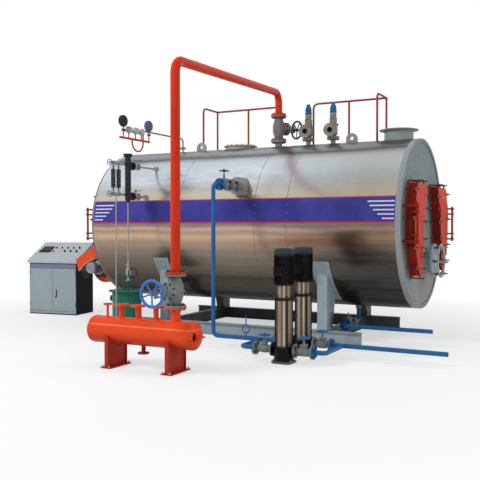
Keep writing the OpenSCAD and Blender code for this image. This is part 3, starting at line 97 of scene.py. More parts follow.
class Nodes:
    """The node tree of a material or a world, with short helpers."""

    def __init__(self, owner, output):
        owner.use_nodes = True
        self.tree = owner.node_tree
        self.tree.nodes.clear()
        self.out = self.new(output)

    def put(self, target, value):
        """Links a socket, or sets a plain value."""
        if isinstance(value, bpy.types.NodeSocket):
            self.tree.links.new(value, target)
        elif hasattr(value, "__len__") and len(value) == 3 and target.type == "RGBA":
            target.default_value = (*value, 1)
        else:
            target.default_value = value

    def new(self, kind, inputs=None, **settings):
        """Adds a node with its settings, and with links or plain values for its inputs."""
        node = self.tree.nodes.new(kind)
        for key, value in settings.items():
            setattr(node, key, value)
        for key, value in (inputs or {}).items():
            self.put(node.inputs[key], value)
        return node

    def math(self, kind, a, b=0.0, clamp=False):
        return self.new("ShaderNodeMath", {0: a, 1: b}, operation=kind, use_clamp=clamp).outputs[0]

    add = partialmethod(math, "ADD")
    sub = partialmethod(math, "SUBTRACT")
    mul = partialmethod(math, "MULTIPLY")
    most = partialmethod(math, "MAXIMUM")
    above = partialmethod(math, "GREATER_THAN")
    below = partialmethod(math, "LESS_THAN")
    size = partialmethod(math, "ABSOLUTE")

    def reach(self, a, b):
        """Distance from an axis, from the two distances along the ways square to it."""
        return self.math("SQRT", self.add(self.mul(a, a), self.mul(b, b)))

    def part(self, value, start, end):
        """0 up to start and 1 from end on, even in between."""
        return self.mul(self.sub(value, start), 1 / (end - start), True)

    def band(self, value, low, high, soft=0.0015):
        """1 where value lies between low and high."""
        return self.mul(self.part(value, low, low + soft), self.part(value, high, high - soft), True)

    def glow(self, kind, color, strength):
        return self.new(kind, {"Color": color, "Strength": strength}).outputs[0]

    def show(self, share, under, over):
        """Puts one shader where share is 0 and the other where it is 1, as the tree's result."""
        node = self.new("ShaderNodeMixShader", {0: share, 1: under, 2: over})
        self.put(self.out.inputs["Surface"], node.outputs[0])


materials = {}


class Look(Nodes):
    """A material, kept under its name. Every texture reads object coordinates, in metres."""

    def __init__(self, name):
        materials[name] = bpy.data.materials.new(name)
        super().__init__(materials[name], "ShaderNodeOutputMaterial")
        self.bsdf = self.new("ShaderNodeBsdfPrincipled")
        self.put(self.out.inputs["Surface"], self.bsdf.outputs[0])
        self.coord = self.new("ShaderNodeTexCoord").outputs["Object"]

    def split(self, vector):
        return self.new("ShaderNodeSeparateXYZ", {0: vector}).outputs

    def xyz(self):
        return self.split(self.coord)

    def normal(self):
        """X, Y and Z of the way a face looks, in its own frame."""
        return self.split(self.new("ShaderNodeTexCoord").outputs["Normal"])

    def noise(self, scale, detail=4, rough=0.55, stretch=None):
        """Noise of a scale, with the coordinates multiplied by stretch."""
        vector = self.coord
        if stretch:
            vector = self.new("ShaderNodeMapping", {"Vector": vector, "Scale": stretch}).outputs[0]
        inputs = {"Vector": vector, "Scale": scale, "Detail": detail, "Roughness": rough}
        return self.new("ShaderNodeTexNoise", inputs).outputs["Fac"]

    def ramp(self, fac, stops):
        node = self.new("ShaderNodeValToRGB")
        points = node.color_ramp.elements
        while len(points) < len(stops):
            points.new(0.5)
        for point, (place, value) in zip(points, stops):
            point.position = place
            point.color = (*value, 1) if hasattr(value, "__len__") else (value,) * 3 + (1,)
        self.put(node.inputs["Fac"], fac)
        return node.outputs["Color"]

    def tones(self, fac, stops, low=0.0, high=1.0):
        """A ramp of display colours, with the stops placed on a scale from low to high."""
        return self.ramp(fac, [((place - low) / (high - low), srgb(*color)) for place, color in stops])

    def spots(self, low, high, strength, *noise):
        """Nothing where the noise is under low, rising to strength where it is over high."""
        return self.ramp(self.noise(*noise), [(low, 0.0), (high, strength)])

    def mottle(self, low, high, scale=14, detail=5):
        """A value that wanders from low to high."""
        return self.ramp(self.noise(scale, detail), [(0.3, low), (0.7, high)])

    def mix(self, fac, a, b, kind="MIX"):
        inputs = {"Factor": fac, 6: a, 7: b}
        return self.new("ShaderNodeMix", inputs, data_type="RGBA", blend_type=kind).outputs[2]

    def bump(self, height, strength, distance):
        node = self.new("ShaderNodeBump", {"Height": height, "Strength": strength, "Distance": distance})
        self.put(self.bsdf.inputs["Normal"], node.outputs[0])

    def set(self, **values):
        names = {"color": "Base Color", "rough": "Roughness", "metal": "Metallic", "coat": "Coat Weight",
                 "coat_rough": "Coat Roughness", "spec": "Specular IOR Level", "edge": "Specular Tint"}
        for key, value in values.items():
            self.put(self.bsdf.inputs[names[key]], value)

    def painted(self, tone, spec, rough, metal=0.0):
        """Finishes the material as paint. Rough is a value, or a pair that it wanders between."""
        rough = self.mottle(*rough) if isinstance(rough, tuple) else rough
        self.set(color=tone, metal=metal, spec=spec, rough=rough)
        self.bump(self.noise(160, 2), 0.12, 0.002)

    def casting(self, tone, spec, rough, depth=0.3):
        """Finishes the material as a painted casting with a pebbled skin."""
        self.set(color=tone, spec=spec, rough=self.mottle(*rough, 30, 4))
        self.bump(self.noise(240, 3, 0.7), depth, 0.002)


def paint_tone(t, color, wear, dirt, patch=0.28):
    """Patchy paint of a display colour: lighter and darker areas, dust in the hollows, and worn flecks."""
    color = srgb(*color)
    stops = [(0.3, shade(color, 1 - patch)), (0.55, color), (0.75, shade(color, 1 + patch * 0.45))]
    tone = t.ramp(t.noise(2.3, 6, 0.6), stops)
    tone = t.mix(t.spots(0.45, 0.75, dirt, 9, 8, 0.7), tone, shade(color, 0.45, 0.015))
    return t.mix(t.spots(0.72 - wear * 0.3, 0.8, wear, 38, 3, 0.6), tone, shade(color, 0.35, 0.02))


def paint(name, color, rough=0.38, wear=0.12, dirt=0.3, spec=0.22, patch=0.28):
    t = Look(name)
    t.painted(paint_tone(t, color, wear, dirt, patch), spec, (rough - 0.07, rough + 0.14))


def bare_metal(name, color, rough=0.3, metal=0.9):
    """Bare or plated metal with stains."""
    t = Look(name)
    grain = t.noise(60, 4, 0.7)
    tone = t.ramp(grain, [(0.3, shade(color, 0.82)), (0.7, color)])
    tone = t.mix(t.spots(0.45, 0.8, 0.25, 5, 7, 0.65), tone, shade(color, 0.5))
    t.set(color=tone, rough=t.ramp(grain, [(0.3, rough - 0.06), (0.7, rough + 0.1)]), metal=metal)
    t.bump(grain, 0.08, 0.001)


def cast_tone(t, color):
    color = srgb(*color)
    stops = [(0.3, shade(color, 0.7)), (0.6, color), (0.8, shade(color, 1.15, 0.01))]
    tone = t.ramp(t.noise(6, 6, 0.6), stops)
    return t.mix(t.spots(0.5, 0.75, 0.35, 22, 6, 0.7), tone, shade(color, 0.4, 0.01))


def cast(name, color, rough=0.5, spec=0.25):
    t = Look(name)
    t.casting(cast_tone(t, color), spec, (rough - 0.08, rough + 0.12))


# The cladding: its tones by height, a painted reflection of the yard and the sky, its seams, and the blue
# band
CLAD_REFLECTION_TONES = [
    (0.45, (10, 10, 9)), (0.62, (20, 18, 16)), (0.66, (62, 58, 49)), (0.78, (66, 57, 46)),
    (1.02, (100, 86, 70)), (1.22, (130, 112, 93)), (1.36, (158, 132, 110)), (1.45, (206, 170, 136)),
    (1.52, (160, 132, 112)), (1.57, (200, 168, 138)), (1.62, (118, 110, 108)), (1.72, (150, 146, 144)),
    (2.06, (196, 190, 172)), (2.16, (184, 184, 178)), (2.3, (182, 193, 202)), (2.46, (202, 213, 222)),
    (2.58, (204, 211, 218)), (2.63, (180, 186, 192)), (2.675, (108, 104, 104)), (2.70, (150, 153, 160)),
    (2.76, (194, 200, 212)), (2.85, (160, 166, 178))]
SEAMS = (0.375, 1.645, 2.145)
BAND_LOW, BAND_HIGH = 1.65, 2.01
BAND_X = (-1.208, 3.675)
# White stripes at the band's ends: height of the lowest, pitch, thickness and how far each one reaches
STRIPE_LOW, STRIPE_PITCH, STRIPE_T = 1.705, 0.056, 0.021
STRIPE_REACH = (0.16, 0.22, 0.28, 0.33, 0.36)


def band_tone(t, x, z):
    """The blue band with its red edges and white stripes."""
    blue = t.tones(t.noise(2, 3), [(0.3, (54, 52, 122)), (0.7, (72, 70, 150))])
    stripes = []
    for i, reach in enumerate(STRIPE_REACH):
        low = STRIPE_LOW + i * STRIPE_PITCH
        ends = t.most(t.band(x, BAND_X[0] + 0.03, BAND_X[0] + 0.03 + reach),
                      t.band(x, BAND_X[1] - 0.02 - reach, BAND_X[1] - 0.02))
        stripes.append(t.mul(t.band(z, low, low + STRIPE_T), ends))
    blue = t.mix(reduce(t.most, stripes), blue, srgb(205, 202, 222))
    edge = t.most(t.band(z, BAND_LOW, BAND_LOW + 0.026), t.band(z, BAND_HIGH - 0.014, BAND_HIGH))
    return t.mix(edge, blue, srgb(188, 62, 74))


def clad_look(t):
    """Colour with painted reflections and shade, metal, roughness and relief of the polished cladding, with
    the band on both sides.
    """
    x, _, z = t.xyz()
    drawn = t.noise(24, 5, 0.7, (0.15, 1.6, 1.6))
    wavy = t.mul(t.sub(t.noise(0.8, 2, 0.4, (0.9, 1, 1)), 0.5), 0.11)
    height = t.part(t.add(z, wavy), BOTTOM_Z, TOP_Z)
    # Painted reflection of the yard and the sky, as tones by height
    tone = t.tones(height, CLAD_REFLECTION_TONES, BOTTOM_Z, TOP_Z)
    # Painted reflection of the dark yard: darker towards the rear, and more so towards the belly
    lower = t.part(z, 1.66, 1.66 - 1 / 12)
    belly_reflection_shade = t.mix(t.part(z, 1.5, 1.1), (0.46, 0.41, 0.35), (0.17, 0.16, 0.14))
    tone = t.mix(t.part(x, 1.7, 3.2), tone, t.mix(lower, (0.72, 0.70, 0.64), belly_reflection_shade), "MULTIPLY")
    # Smears, painted sky reflection as pale clouds on the upper half and the crown, and streaks
    smear = t.spots(0.45, 0.75, 0.3, 1.1, 4, 0.6, (3.0, 1, 0.5))
    tone = t.mix(t.mul(smear, t.band(z, 1.0, 2.6, 0.3)), tone, srgb(150, 138, 126))
    sky_reflection = t.spots(0.42, 0.62, 0.75, 1.0, 5, 0.6, (0.9, 1, 3.4))
    crown = t.mul(t.band(z, 2.71, 2.83, 0.02), t.band(x, 0.1, 2.7, 0.5))
    upper = t.mul(t.most(t.band(z, 2.18, 2.66, 0.1), crown), t.band(x, -2.0, 2.4, 0.6))
    tone = t.mix(t.mul(sky_reflection, upper), tone, srgb(226, 233, 242))
    tone = t.mix(t.mul(drawn, 0.12), tone, (0.85, 0.85, 0.85))
    streak = t.ramp(t.noise(1.0, 2, 0.6, (0.12, 0.3, 30)), [(0.36, (0.84, 0.83, 0.82)), (0.58, (1, 1, 1))])
    tone = t.mix(t.add(0.15, t.mul(lower, 0.5)), tone, streak, "MULTIPLY")
    seam = reduce(t.most, [t.band(x, place - 0.004, place + 0.004) for place in SEAMS])
    tone = t.mix(t.mul(seam, 0.8), tone, (0.07, 0.065, 0.06))
    band = t.mul(t.band(z, BAND_LOW, BAND_HIGH), t.band(x, *BAND_X))
    tone = t.mix(band, tone, band_tone(t, x, z))
    metal = t.mul(t.ramp(height, [(0.05, 0.8), (0.4, 0.92)]), t.sub(1.0, t.mul(band, 0.97)))
    rough = t.add(t.mul(drawn, 0.12), t.add(0.17, t.mul(band, 0.2)))
    bumps = t.add(t.mul(drawn, 0.15), t.mul(t.noise(1.3, 3), 0.6))
    return tone, metal, rough, t.sub(bumps, seam)


def shell_material():
    """The vessel's polished stainless cladding."""
    t = Look("shell")
    tone, metal, rough, relief = clad_look(t)
    t.set(color=tone, metal=metal, rough=rough, spec=0.1, edge=(0.38, 0.37, 0.36))
    t.bump(relief, 0.25, 0.004)


def end_plate_material():
    """Grey end plates, paler towards the foot, with a painted highlight on the rear plate's edge and a dark
    brown edge on the front one. The cladding laps over the front one's edge.
    """
    t = Look("end_grey")
    x, y, z = t.xyz()
    grey = t.tones(t.part(z, BOTTOM_Z, TOP_Z), [(0.05, (132, 132, 127)), (0.35, (124, 132, 131)),
                                                (0.7, (110, 121, 124)), (1.0, (100, 113, 118))])
    grey = t.mix(t.spots(0.35, 0.8, 0.22, 3, 6, 0.6), grey, srgb(88, 98, 100))
    grey = t.mix(t.spots(0.5, 0.8, 0.16, 9, 5, 0.6, (1, 1.5, 0.12)), grey, srgb(158, 164, 164))
    rim = t.above(t.reach(y, t.sub(z, AXIS_Z)), SHELL_R - 0.0005)
    # Painted highlight: the rear plate's edge pale, the front plate's edge dark brown
    rim_highlight_tone = t.mix(t.below(x, 0.0), srgb(164, 169, 174), srgb(78, 64, 60))
    grey = t.mix(t.mul(rim, 0.5), grey, rim_highlight_tone)
    tone, metal, rough, _ = clad_look(t)
    lap = t.mul(rim, t.band(x, FRONT_X + 0.01, 0.0))
    t.painted(t.mix(lap, grey, tone), 0.15, t.mix(lap, t.mottle(0.4, 0.58), rough), t.mul(lap, metal))


def split_cast(name, under, over, height):
    """A casting in one colour below a height and in another above it."""
    t = Look(name)
    top = t.above(t.xyz()[2], height)
    t.casting(t.mix(top, cast_tone(t, under), cast_tone(t, over)), 0.25, (0.36, 0.55))


def small_wheels_material():
    """Blue wheels, with the feed valve's and the sample drain's wheel in black."""
    t = Look("small_wheels")
    x, _, z = t.xyz()
    feed = t.mul(t.above(z, 2.3), t.above(x, 0.5))
    drain = t.mul(t.below(x, 0.5), t.below(z, 1.3))
    blue = paint_tone(t, (50, 104, 168), 0.2, 0.3)
    t.painted(t.mix(t.most(feed, drain), blue, srgb(30, 32, 36)), 0.25, 0.38)


# Console: its middle on the floor, width, depth, height under the desk, and turn
CONSOLE = (-2.999, 0.053)
CONSOLE_W, CONSOLE_D, CONSOLE_H = 0.99, 0.58, 0.94
CONSOLE_ANGLE = radians(8)
CONSOLE_TURN = Matrix.Rotation(CONSOLE_ANGLE, 3, "Z")


def at_console(x, y, z):
    """A point of the row frame, from the console's own measures."""
    return CONSOLE_TURN @ Vector((x, y, 0)) + Vector((*CONSOLE, z))


def cabinet_material():
    """Black cabinet whose front strip and plinth carry the doors' grey paint, with a painted shadow along the
    strip's top under the desk lip.
    """
    t = Look("cabinet")
    x, y, z = t.xyz()
    across = t.mul(t.sub(x, CONSOLE[0]), -sin(CONSOLE_ANGLE))
    along = t.mul(t.sub(y, CONSOLE[1]), cos(CONSOLE_ANGLE))
    front = t.mul(t.below(t.add(across, along), 0.0005 - CONSOLE_D / 2), t.above(z, 0.018))
    grey = t.mix(t.above(z, 0.5), srgb(146, 160, 166), srgb(120, 124, 148))
    # Painted shadow under the desk lip, along the top of the front strip
    grey = t.mix(t.above(z, 0.926), grey, srgb(52, 52, 58))
    t.painted(t.mix(front, paint_tone(t, (15, 15, 16), 0.1, 0.3), grey), 0.05, 0.5)


def glass_material():
    """Reflex glass: dark where the water stands, pale above it."""
    t = Look("glass")
    ribs = t.new("ShaderNodeTexWave", {"Vector": t.coord, "Scale": 120}, bands_direction="Y").outputs["Fac"]
    tone = t.mix(t.below(t.xyz()[2], 2.31), (0.45, 0.47, 0.46), (0.012, 0.02, 0.02))
    tone = t.mix(t.mul(ribs, 0.25), tone, (0.2, 0.22, 0.22))
    t.set(color=tone, rough=0.08, coat=0.6, coat_rough=0.03)


def screen_material():
    """The console's dark display."""
    t = Look("screen")
    t.set(color=t.mottle((0.006, 0.007, 0.012), (0.02, 0.022, 0.035), 30, 3), rough=0.2, spec=0.1)


def skid_material():
    """Grey paint of the frame and legs, with painted shadow in under the vessel."""
    t = Look("leg_grey")
    _, y, z = t.xyz()
    # Painted shadow: darker where the frame lies in under the vessel, broken by noise
    inside = t.mul(t.part(y, -0.93, -0.805), t.below(z, 0.42))
    shadow_under_vessel = t.mul(inside, t.ramp(t.noise(6, 5), [(0.2, 0.62), (0.8, 0.92)]))
    tone = t.mix(shadow_under_vessel, paint_tone(t, (150, 167, 171), 0.12, 0.3), srgb(50, 48, 44))
    t.painted(tone, 0.2, (0.38, 0.6))


def door_material():
    """Red paint of the smoke doors, with painted shade on the sides and darker painted shade at the lap on
    the plate.
    """
    t = Look("door_red")
    x = t.xyz()[0]
    front = t.size(t.normal()[0])
    off = t.math("MINIMUM", t.size(t.sub(x, REAR_X)), t.size(t.sub(x, FRONT_X)))
    lap = t.mul(t.below(off, 0.06), t.below(front, 0.9))
    # Painted shade: darker on faces that don't look along the boiler, most at the lap on the plate
    side_shade = t.most(t.ramp(front, [(0.15, 0.62), (0.75, 0.0)]), t.mul(lap, 0.8))
    tone = t.mix(side_shade, paint_tone(t, (190, 50, 28), 0.12, 0.4), srgb(84, 28, 20))
    t.painted(tone, 0.06, (0.35, 0.56))


def burner_material():
    """Orange burner casing, with painted shadow in near-black where it looks down, and near-black on the
    sides inside the air intake's arc.
    """
    t = Look("burner")
    x, _, z = t.xyz()
    _, side_way, up_way = t.normal()
    # Painted shadow on the faces that look down
    under = t.ramp(t.mul(up_way, -1.0), [(0.25, 0.0), (0.6, 0.9)])
    hollow = t.below(t.reach(t.sub(x, INTAKE_X), t.sub(z, INTAKE_Z)), INTAKE_R)
    # Near-black on the sides inside the air intake's arc
    side = t.mul(t.above(t.size(side_way), 0.8), t.mul(t.band(z, 0.7, 1.15, 0.03), hollow))
    orange = paint_tone(t, (222, 80, 36), 0.05, 0.2, 0.16)
    t.painted(t.mix(t.most(under, t.mul(side, 0.93)), orange, srgb(30, 26, 25)), 0.18, (0.3, 0.5))


def header_material():
    """Glossy orange of the header, with a painted highlight along its crown and painted shade below."""
    t = Look("header")
    z = t.xyz()[2]
    # Painted shade: darker towards the barrel's foot, none above its middle
    stops = [(0.02, (0.42, 0.36, 0.36)), (0.22, (0.72, 0.66, 0.66)), (0.5, (1, 1, 1))]
    shade_below = t.ramp(t.part(z, 0.24, 0.60), stops)
    tone = t.mix(1.0, paint_tone(t, (228, 74, 34), 0.04, 0.15, 0.14), shade_below, "MULTIPLY")
    # Painted highlight line along the crown
    crown = t.mul(t.band(z, 0.478, 0.503, 0.012), t.mottle(0.35, 0.8, 4, 4))
    t.painted(t.mix(crown, tone, srgb(250, 150, 112)), 0.12, (0.24, 0.42))


def gauge_material():
    """Black gauge cases, the rear one in blue grey."""
    t = Look("gauge_dark")
    tone = t.mix(t.above(t.xyz()[1], -1.37), cast_tone(t, (38, 42, 52)), srgb(86, 92, 122))
    t.casting(tone, 0.2, (0.24, 0.4), 0.2)


def pump_material():
    """Black pump castings and motors, with a greyer fan cover and a dusty foot."""
    t = Look("pump_black")
    z = t.xyz()[2]
    tone = t.mix(t.above(z, 1.262), cast_tone(t, (14, 14, 15)), srgb(54, 58, 66))
    tone = t.mix(t.mul(t.below(z, 0.026), 0.8), tone, srgb(116, 106, 94))
    t.casting(tone, 0.12, (0.28, 0.46))


def sleeve_material():
    """Polished pump sleeves, drawn upright, with a painted reflection of dark and pale upright stripes round
    the tube.
    """
    t = Look("stainless")
    x, y, _ = t.xyz()
    second = t.above(y, sum(PUMP_Y) / 2)
    dy = t.sub(t.sub(y, PUMP_Y[0]), t.mul(second, PUMP_Y[1] - PUMP_Y[0]))
    turns = t.mul(t.add(t.math("ARCTAN2", dy, t.sub(x, PUMP_X)), pi), 1 / tau)
    # Painted reflection: dark and pale stripes by the angle round each sleeve
    tone = t.tones(turns, [
        (0.0, (60, 54, 48)), (0.06, (176, 160, 142)), (0.12, (120, 104, 90)), (0.17, (44, 38, 34)),
        (0.205, (190, 174, 156)), (0.245, (146, 128, 110)), (0.285, (36, 32, 29)), (0.315, (206, 192, 174)),
        (0.345, (118, 100, 86)), (0.38, (52, 45, 40)), (0.43, (134, 118, 102)), (0.5, (60, 54, 50)),
        (0.6, (170, 156, 140)), (0.7, (70, 62, 56)), (0.8, (150, 136, 120)), (0.9, (64, 58, 52)),
        (1.0, (60, 54, 48))])
    drawn = t.noise(30, 4, 0.6, (1.0, 1.0, 0.05))
    tone = t.mix(t.mul(drawn, 0.25), tone, srgb(168, 150, 134))
    t.set(color=tone, metal=0.6, spec=0.3, rough=t.ramp(drawn, [(0.3, 0.24), (0.7, 0.38)]))
    t.bump(drawn, 0.06, 0.001)


for make in (shell_material, end_plate_material, skid_material, header_material, burner_material,
             door_material, small_wheels_material, pump_material, sleeve_material, gauge_material,
             cabinet_material, glass_material, screen_material):
    make()
paint("flue_grey", (140, 150, 147), 0.45)
bare_metal("tube", (0.2, 0.18, 0.165), 0.5)
paint("vent_grey", (146, 164, 168), 0.45)
paint("orange", (226, 76, 36), 0.3, wear=0.04, dirt=0.15, spec=0.2, patch=0.14)
paint("leg_orange", (170, 50, 32), 0.42, wear=0.08, spec=0.14)
paint("riser_red", (206, 56, 30), 0.3, wear=0.04, dirt=0.15, spec=0.07, patch=0.14)
paint("rail_red", (156, 62, 56), 0.45)
paint("pipe_blue", (36, 98, 152), 0.35, spec=0.2, patch=0.16)
paint("wheel_blue", (64, 112, 184), 0.35, patch=0.16)
paint("wheel_navy", (30, 52, 104), 0.4)
cast("valve_grey", (124, 130, 130))
cast("valve_brown", (122, 114, 112))
bare_metal("fitting_grey", srgb(168, 168, 162), 0.35, metal=0.6)
split_cast("safety", (146, 142, 133), (24, 96, 150), 3.318)
cast("nozzle", (146, 144, 138))
cast("column_black", (46, 48, 50), 0.4, spec=0.15)
cast("lug_steel", (158, 158, 152), 0.4)
paint("green", (32, 106, 90), 0.4, patch=0.16, spec=0.14)
paint("beige", (172, 160, 142), 0.5)
paint("gauge_red", (186, 50, 44), 0.4)
paint("switch_grey", (180, 182, 182), 0.45)
paint("console_grey", (150, 163, 168), 0.42, wear=0.03, dirt=0.1, patch=0.06)
paint("desk_grey", (176, 185, 188), 0.4, wear=0.03, dirt=0.1, patch=0.06)
cast("motor_grey", (160, 160, 172), 0.4, spec=0.15)
bare_metal("zinc", (0.42, 0.42, 0.4), 0.35)
bare_metal("black_bolt", (0.035, 0.033, 0.032), 0.42, metal=0.5)
cast("gasket", (18, 18, 18), 0.7, spec=0.08)
cast("rope", (84, 78, 70), 0.85)
paint("dial_white", (226, 226, 220), 0.3, wear=0.0, dirt=0.05, patch=0.04)
paint("marks", (16, 16, 18), 0.4, wear=0.0, dirt=0.05, spec=0.1)
for name, color in (("lamp_red", (176, 26, 34)), ("lamp_green", (16, 104, 56)),
                    ("lamp_pale", (206, 210, 206))):
    paint(name, color, 0.25, wear=0.0, dirt=0.05)
paint("trim_pale", (214, 206, 198), 0.4, patch=0.1)

NODE_LOOKS = {
    "shell": "boiler_shell",
    "end_grey": "front_plate rear_plate",
    "flue_grey": "flue_outlet",
    "tube": "fire_tubes",
    "leg_grey": "saddle_legs skid_frame",
    "vent_grey": "vent_port",
    "header": "header_barrel header_heads",
    "leg_orange": "header_legs",
    "riser_red": "steam_riser steam_run steam_drop",
    "burner": "burner_casing",
    "door_red": "rear_door_near rear_door_far front_door_near front_door_far door_davits",
    "rail_red": "handrails",
    "pipe_blue": "feed_line suction_line blowdown_line",
    "small_wheels": "small_handwheels",
    "wheel_blue": "header_wheel",
    "wheel_navy": "main_steam_wheel",
    "valve_grey": "header_valve line_valves",
    "valve_brown": "main_steam_valve",
    "fitting_grey": "column_fittings",
    "safety": "safety_valves",
    "nozzle": "shell_nozzles",
    "column_black": "water_column gauge_glass",
    "pump_black": "pump_bases pump_motors",
    "stainless": "pump_columns",
    "lug_steel": "lifting_lugs",
    "green": "cooler_tank cooler_lid",
    "beige": "top_manhole",
    "gauge_red": "gauge_manifold",
    "gauge_dark": "pressure_gauges",
    "switch_grey": "pressure_switches",
    "console_grey": "console_door_left console_door_right",
    "cabinet": "console_cabinet",
    "desk_grey": "console_desk",
    "motor_grey": "burner_motor",
}
for look, names in NODE_LOOKS.items():
    for name in names.split():
        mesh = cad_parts[name].data
        mesh.materials.clear()
        mesh.materials.append(materials[look])


# Mesh helpers
def between(u, v, angle):
    """The way at an angle from u towards v."""
    return u * cos(angle) + v * sin(angle)


def heading(degrees):
    """A level way at an angle from X."""
    return between(X, Y, radians(degrees))


def square_to(axis):
    """An axis as a unit vector, with two ways square to it and to each other."""
    w = Vector(axis).normalized()
    u = X if abs(w.x) < 0.6 else Z
    u = (u - w * u.dot(w)).normalized()
    return w, u, w.cross(u)


def ring_places(place, axis, pitch_r, count):
    _, u, v = square_to(axis)
    return [Vector(place) + between(u, v, (i + 0.5) * tau / count) * pitch_r for i in range(count)]


def turns_of(count):
    return [tau * i / count for i in range(count)]


def corners(a, b):
    return [(-a, -b), (-a, b), (a, -b), (a, b)]


def along(place, **offsets):
    """A point moved along the axes that are named."""
    return Vector(place) + Vector(tuple(offsets.get(k, 0.0) for k in "xyz"))


class Shape:
    """Collects the faces of one piece, in metres in the row frame."""

    def __init__(self):
        self.verts = []
        self.faces = []

    def add(self, verts, faces):
        base = len(self.verts)
        self.verts.extend(verts)
        self.faces.extend([[base + i for i in face] for face in faces])

    def rows(self, rings, closed):
        """Joins rings of points into a skin, closed round from the last to the first or capped."""
        count, sides = len(rings), len(rings[0])
        faces = []
        for k in range(count if closed else count - 1):
            here, there = k * sides, (k + 1) % count * sides
            for i in range(sides):
                j = (i + 1) % sides
                faces.append([here + i, here + j, there + j, there + i])
        if not closed:
            faces += [list(range(sides))[::-1], list(range((count - 1) * sides, count * sides))]
        self.add([p for ring in rings for p in ring], faces)

    def lathe(self, place, axis, profile, sides=24, turn=0.0, closed=False):
        """A turned form round an axis; the profile gives (distance along the axis, radius)."""
        w, u, v = square_to(axis)
        place = Vector(place)
        self.rows([[place + w * dist + between(u, v, turn + a) * radius for a in turns_of(sides)]
                   for dist, radius in profile], closed)

    def disc(self, place, axis, thick, radius, sides=24, turn=0.0):
        """A plain disc or rod."""
        self.lathe(place, axis, [(0, radius), (thick, radius)], sides, turn)

    def hoop(self, place, axis, thick, inner, outer, sides):
        """A flat ring."""
        self.lathe(place, axis, [(0, inner), (0, outer), (thick, outer), (thick, inner)], sides, closed=True)

    def box(self, place, size, rot=None):
        """A box round its middle, turned by a matrix."""
        rot = rot or Matrix.Identity(3)
        sx, sy, sz = (s / 2 for s in size)
        points = [(x, y, z) for z in (-sz, sz) for x, y in ((-sx, -sy), (sx, -sy), (sx, sy), (-sx, sy))]
        self.add([Vector(place) + rot @ Vector(p) for p in points],
                 [[0, 3, 2, 1], [4, 5, 6, 7], [0, 1, 5, 4], [1, 2, 6, 5], [2, 3, 7, 6], [3, 0, 4, 7]])

    def tube(self, points, radius, sides=8, closed=False):
        """A round bar along a line of points."""
        points = [Vector(p) for p in points]
        last = len(points) - 1
        u, rings = None, []
        for i, p in enumerate(points):
            before = points[i - 1] if closed or i > 0 else p
            after = points[(i + 1) % (last + 1)] if closed or i < last else p
            way = (after - before).normalized()
            u = way.orthogonal().normalized() if u is None else (u - way * u.dot(way)).normalized()
            rings.append([p + between(u, way.cross(u), a) * radius for a in turns_of(sides)])
        self.rows(rings, closed)

    def nut(self, place, axis, r, thread=0.0):
        """A hexagon nut or head on its washer, outwards from place, with thread showing past it."""
        axis, place = Vector(axis).normalized(), Vector(place)
        self.disc(place, axis, r * 0.35, r * 2.1, 14)
        turn = (len(self.verts) * 0.37) % 1.0
        hexagon = [(0, r * 1.75), (r * 1.2, r * 1.75), (r * 1.45, r * 1.5)]
        self.lathe(place + axis * r * 0.35, axis, hexagon, 6, turn)
        if thread:
            end = [(0, r * 0.95), (thread - r * 0.2, r * 0.95), (thread, r * 0.75)]
            self.lathe(place + axis * r * 1.7, axis, end, 8)

    def nuts(self, places, axis, r, thread=0.0):
        for place in places:
            self.nut(place, axis, r, thread)

    def flange_bolts(self, place, axis, pitch_r, count, r, grip, thread=0.6):
        """Bolts through a joint; place is the middle of its first face, grip its thickness."""
        w = Vector(axis).normalized()
        for p in ring_places(place, w, pitch_r, count):
            self.nut(p + w * grip, w, r, r * thread)
            self.nut(p, -w, r)


# A table of the record's slots, with the looks listed under each
SLOT_LOOKS = {"steam_red": "orange", "door_red": "door_red lamp_red", "bare_steel": "zinc fitting_grey",
              "gauge_black": "black_bolt gasket rope marks screen glass", "cooler_green": "green lamp_green",
              "pump_black": "pump_black", "motor_grey": "motor_grey", "plate_grey": "end_grey",
              "desk_grey": "trim_pale dial_white lamp_pale", "valve_silver": "safety",
              "nozzle_grey": "nozzle"}
SLOTS = {look: slot for slot, looks in SLOT_LOOKS.items() for look in looks.split()}


def mesh_object(name, verts, faces, look):
    mesh = bpy.data.meshes.new(name)
    mesh.from_pydata([tuple(v) for v in verts], [], faces)
    mesh.materials.append(materials[look])
    return in_scene(name, mesh)


def piece(name, shape, look, body="root", bevel=0.0):
    """Makes a shape an object with a look, on a body, with its sharp edges bevelled if asked."""
    ob = mesh_object(name, shape.verts, shape.faces, look)
    ob.data.shade_smooth()
    ob.data.set_sharp_from_angle(angle=radians(40))
    if bevel:
        mod = ob.modifiers.new("edge", "BEVEL")
        mod.width = bevel
        mod.segments = 2
        mod.limit_method = "ANGLE"
    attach(ob, body)


# Steam valves: flange joints, bonnets and wheel collars
HEADER_Y = -3.55
HEADER = (HEADER_Y, 0.416, 0.155)
STEAM, INLET = Vector((1.485, 0, 0)), Vector((1.875, HEADER_Y, 0))
MAIN_VALVE, HEADER_VALVE, VALVE_R = STEAM + Z * 3.139, INLET + Z * 0.905, 0.054
MAIN_STEM = heading(60)
SAFETY_X = (1.985, 2.385)
steam_bolts, joint_rings = Shape(), Shape()
for place, grip in ((STEAM + Z * 2.92, 0.048), (STEAM + Z * 3.31, 0.048), (INLET + Z * 0.70, 0.044),
                    (INLET + Z * 1.066, 0.048)):
    steam_bolts.flange_bolts(place, Z, 0.092, 8, 0.008, grip)
    joint_rings.disc(place + Z * (grip - 0.0255), Z, 0.003, 0.1205, 48)
for centre, stem in ((MAIN_VALVE, MAIN_STEM), (HEADER_VALVE, -Y)):
    steam_bolts.flange_bolts(centre + stem * VALVE_R * 2.1, stem, VALVE_R * 1.85 - 0.014, 8, 0.006, 0.047)
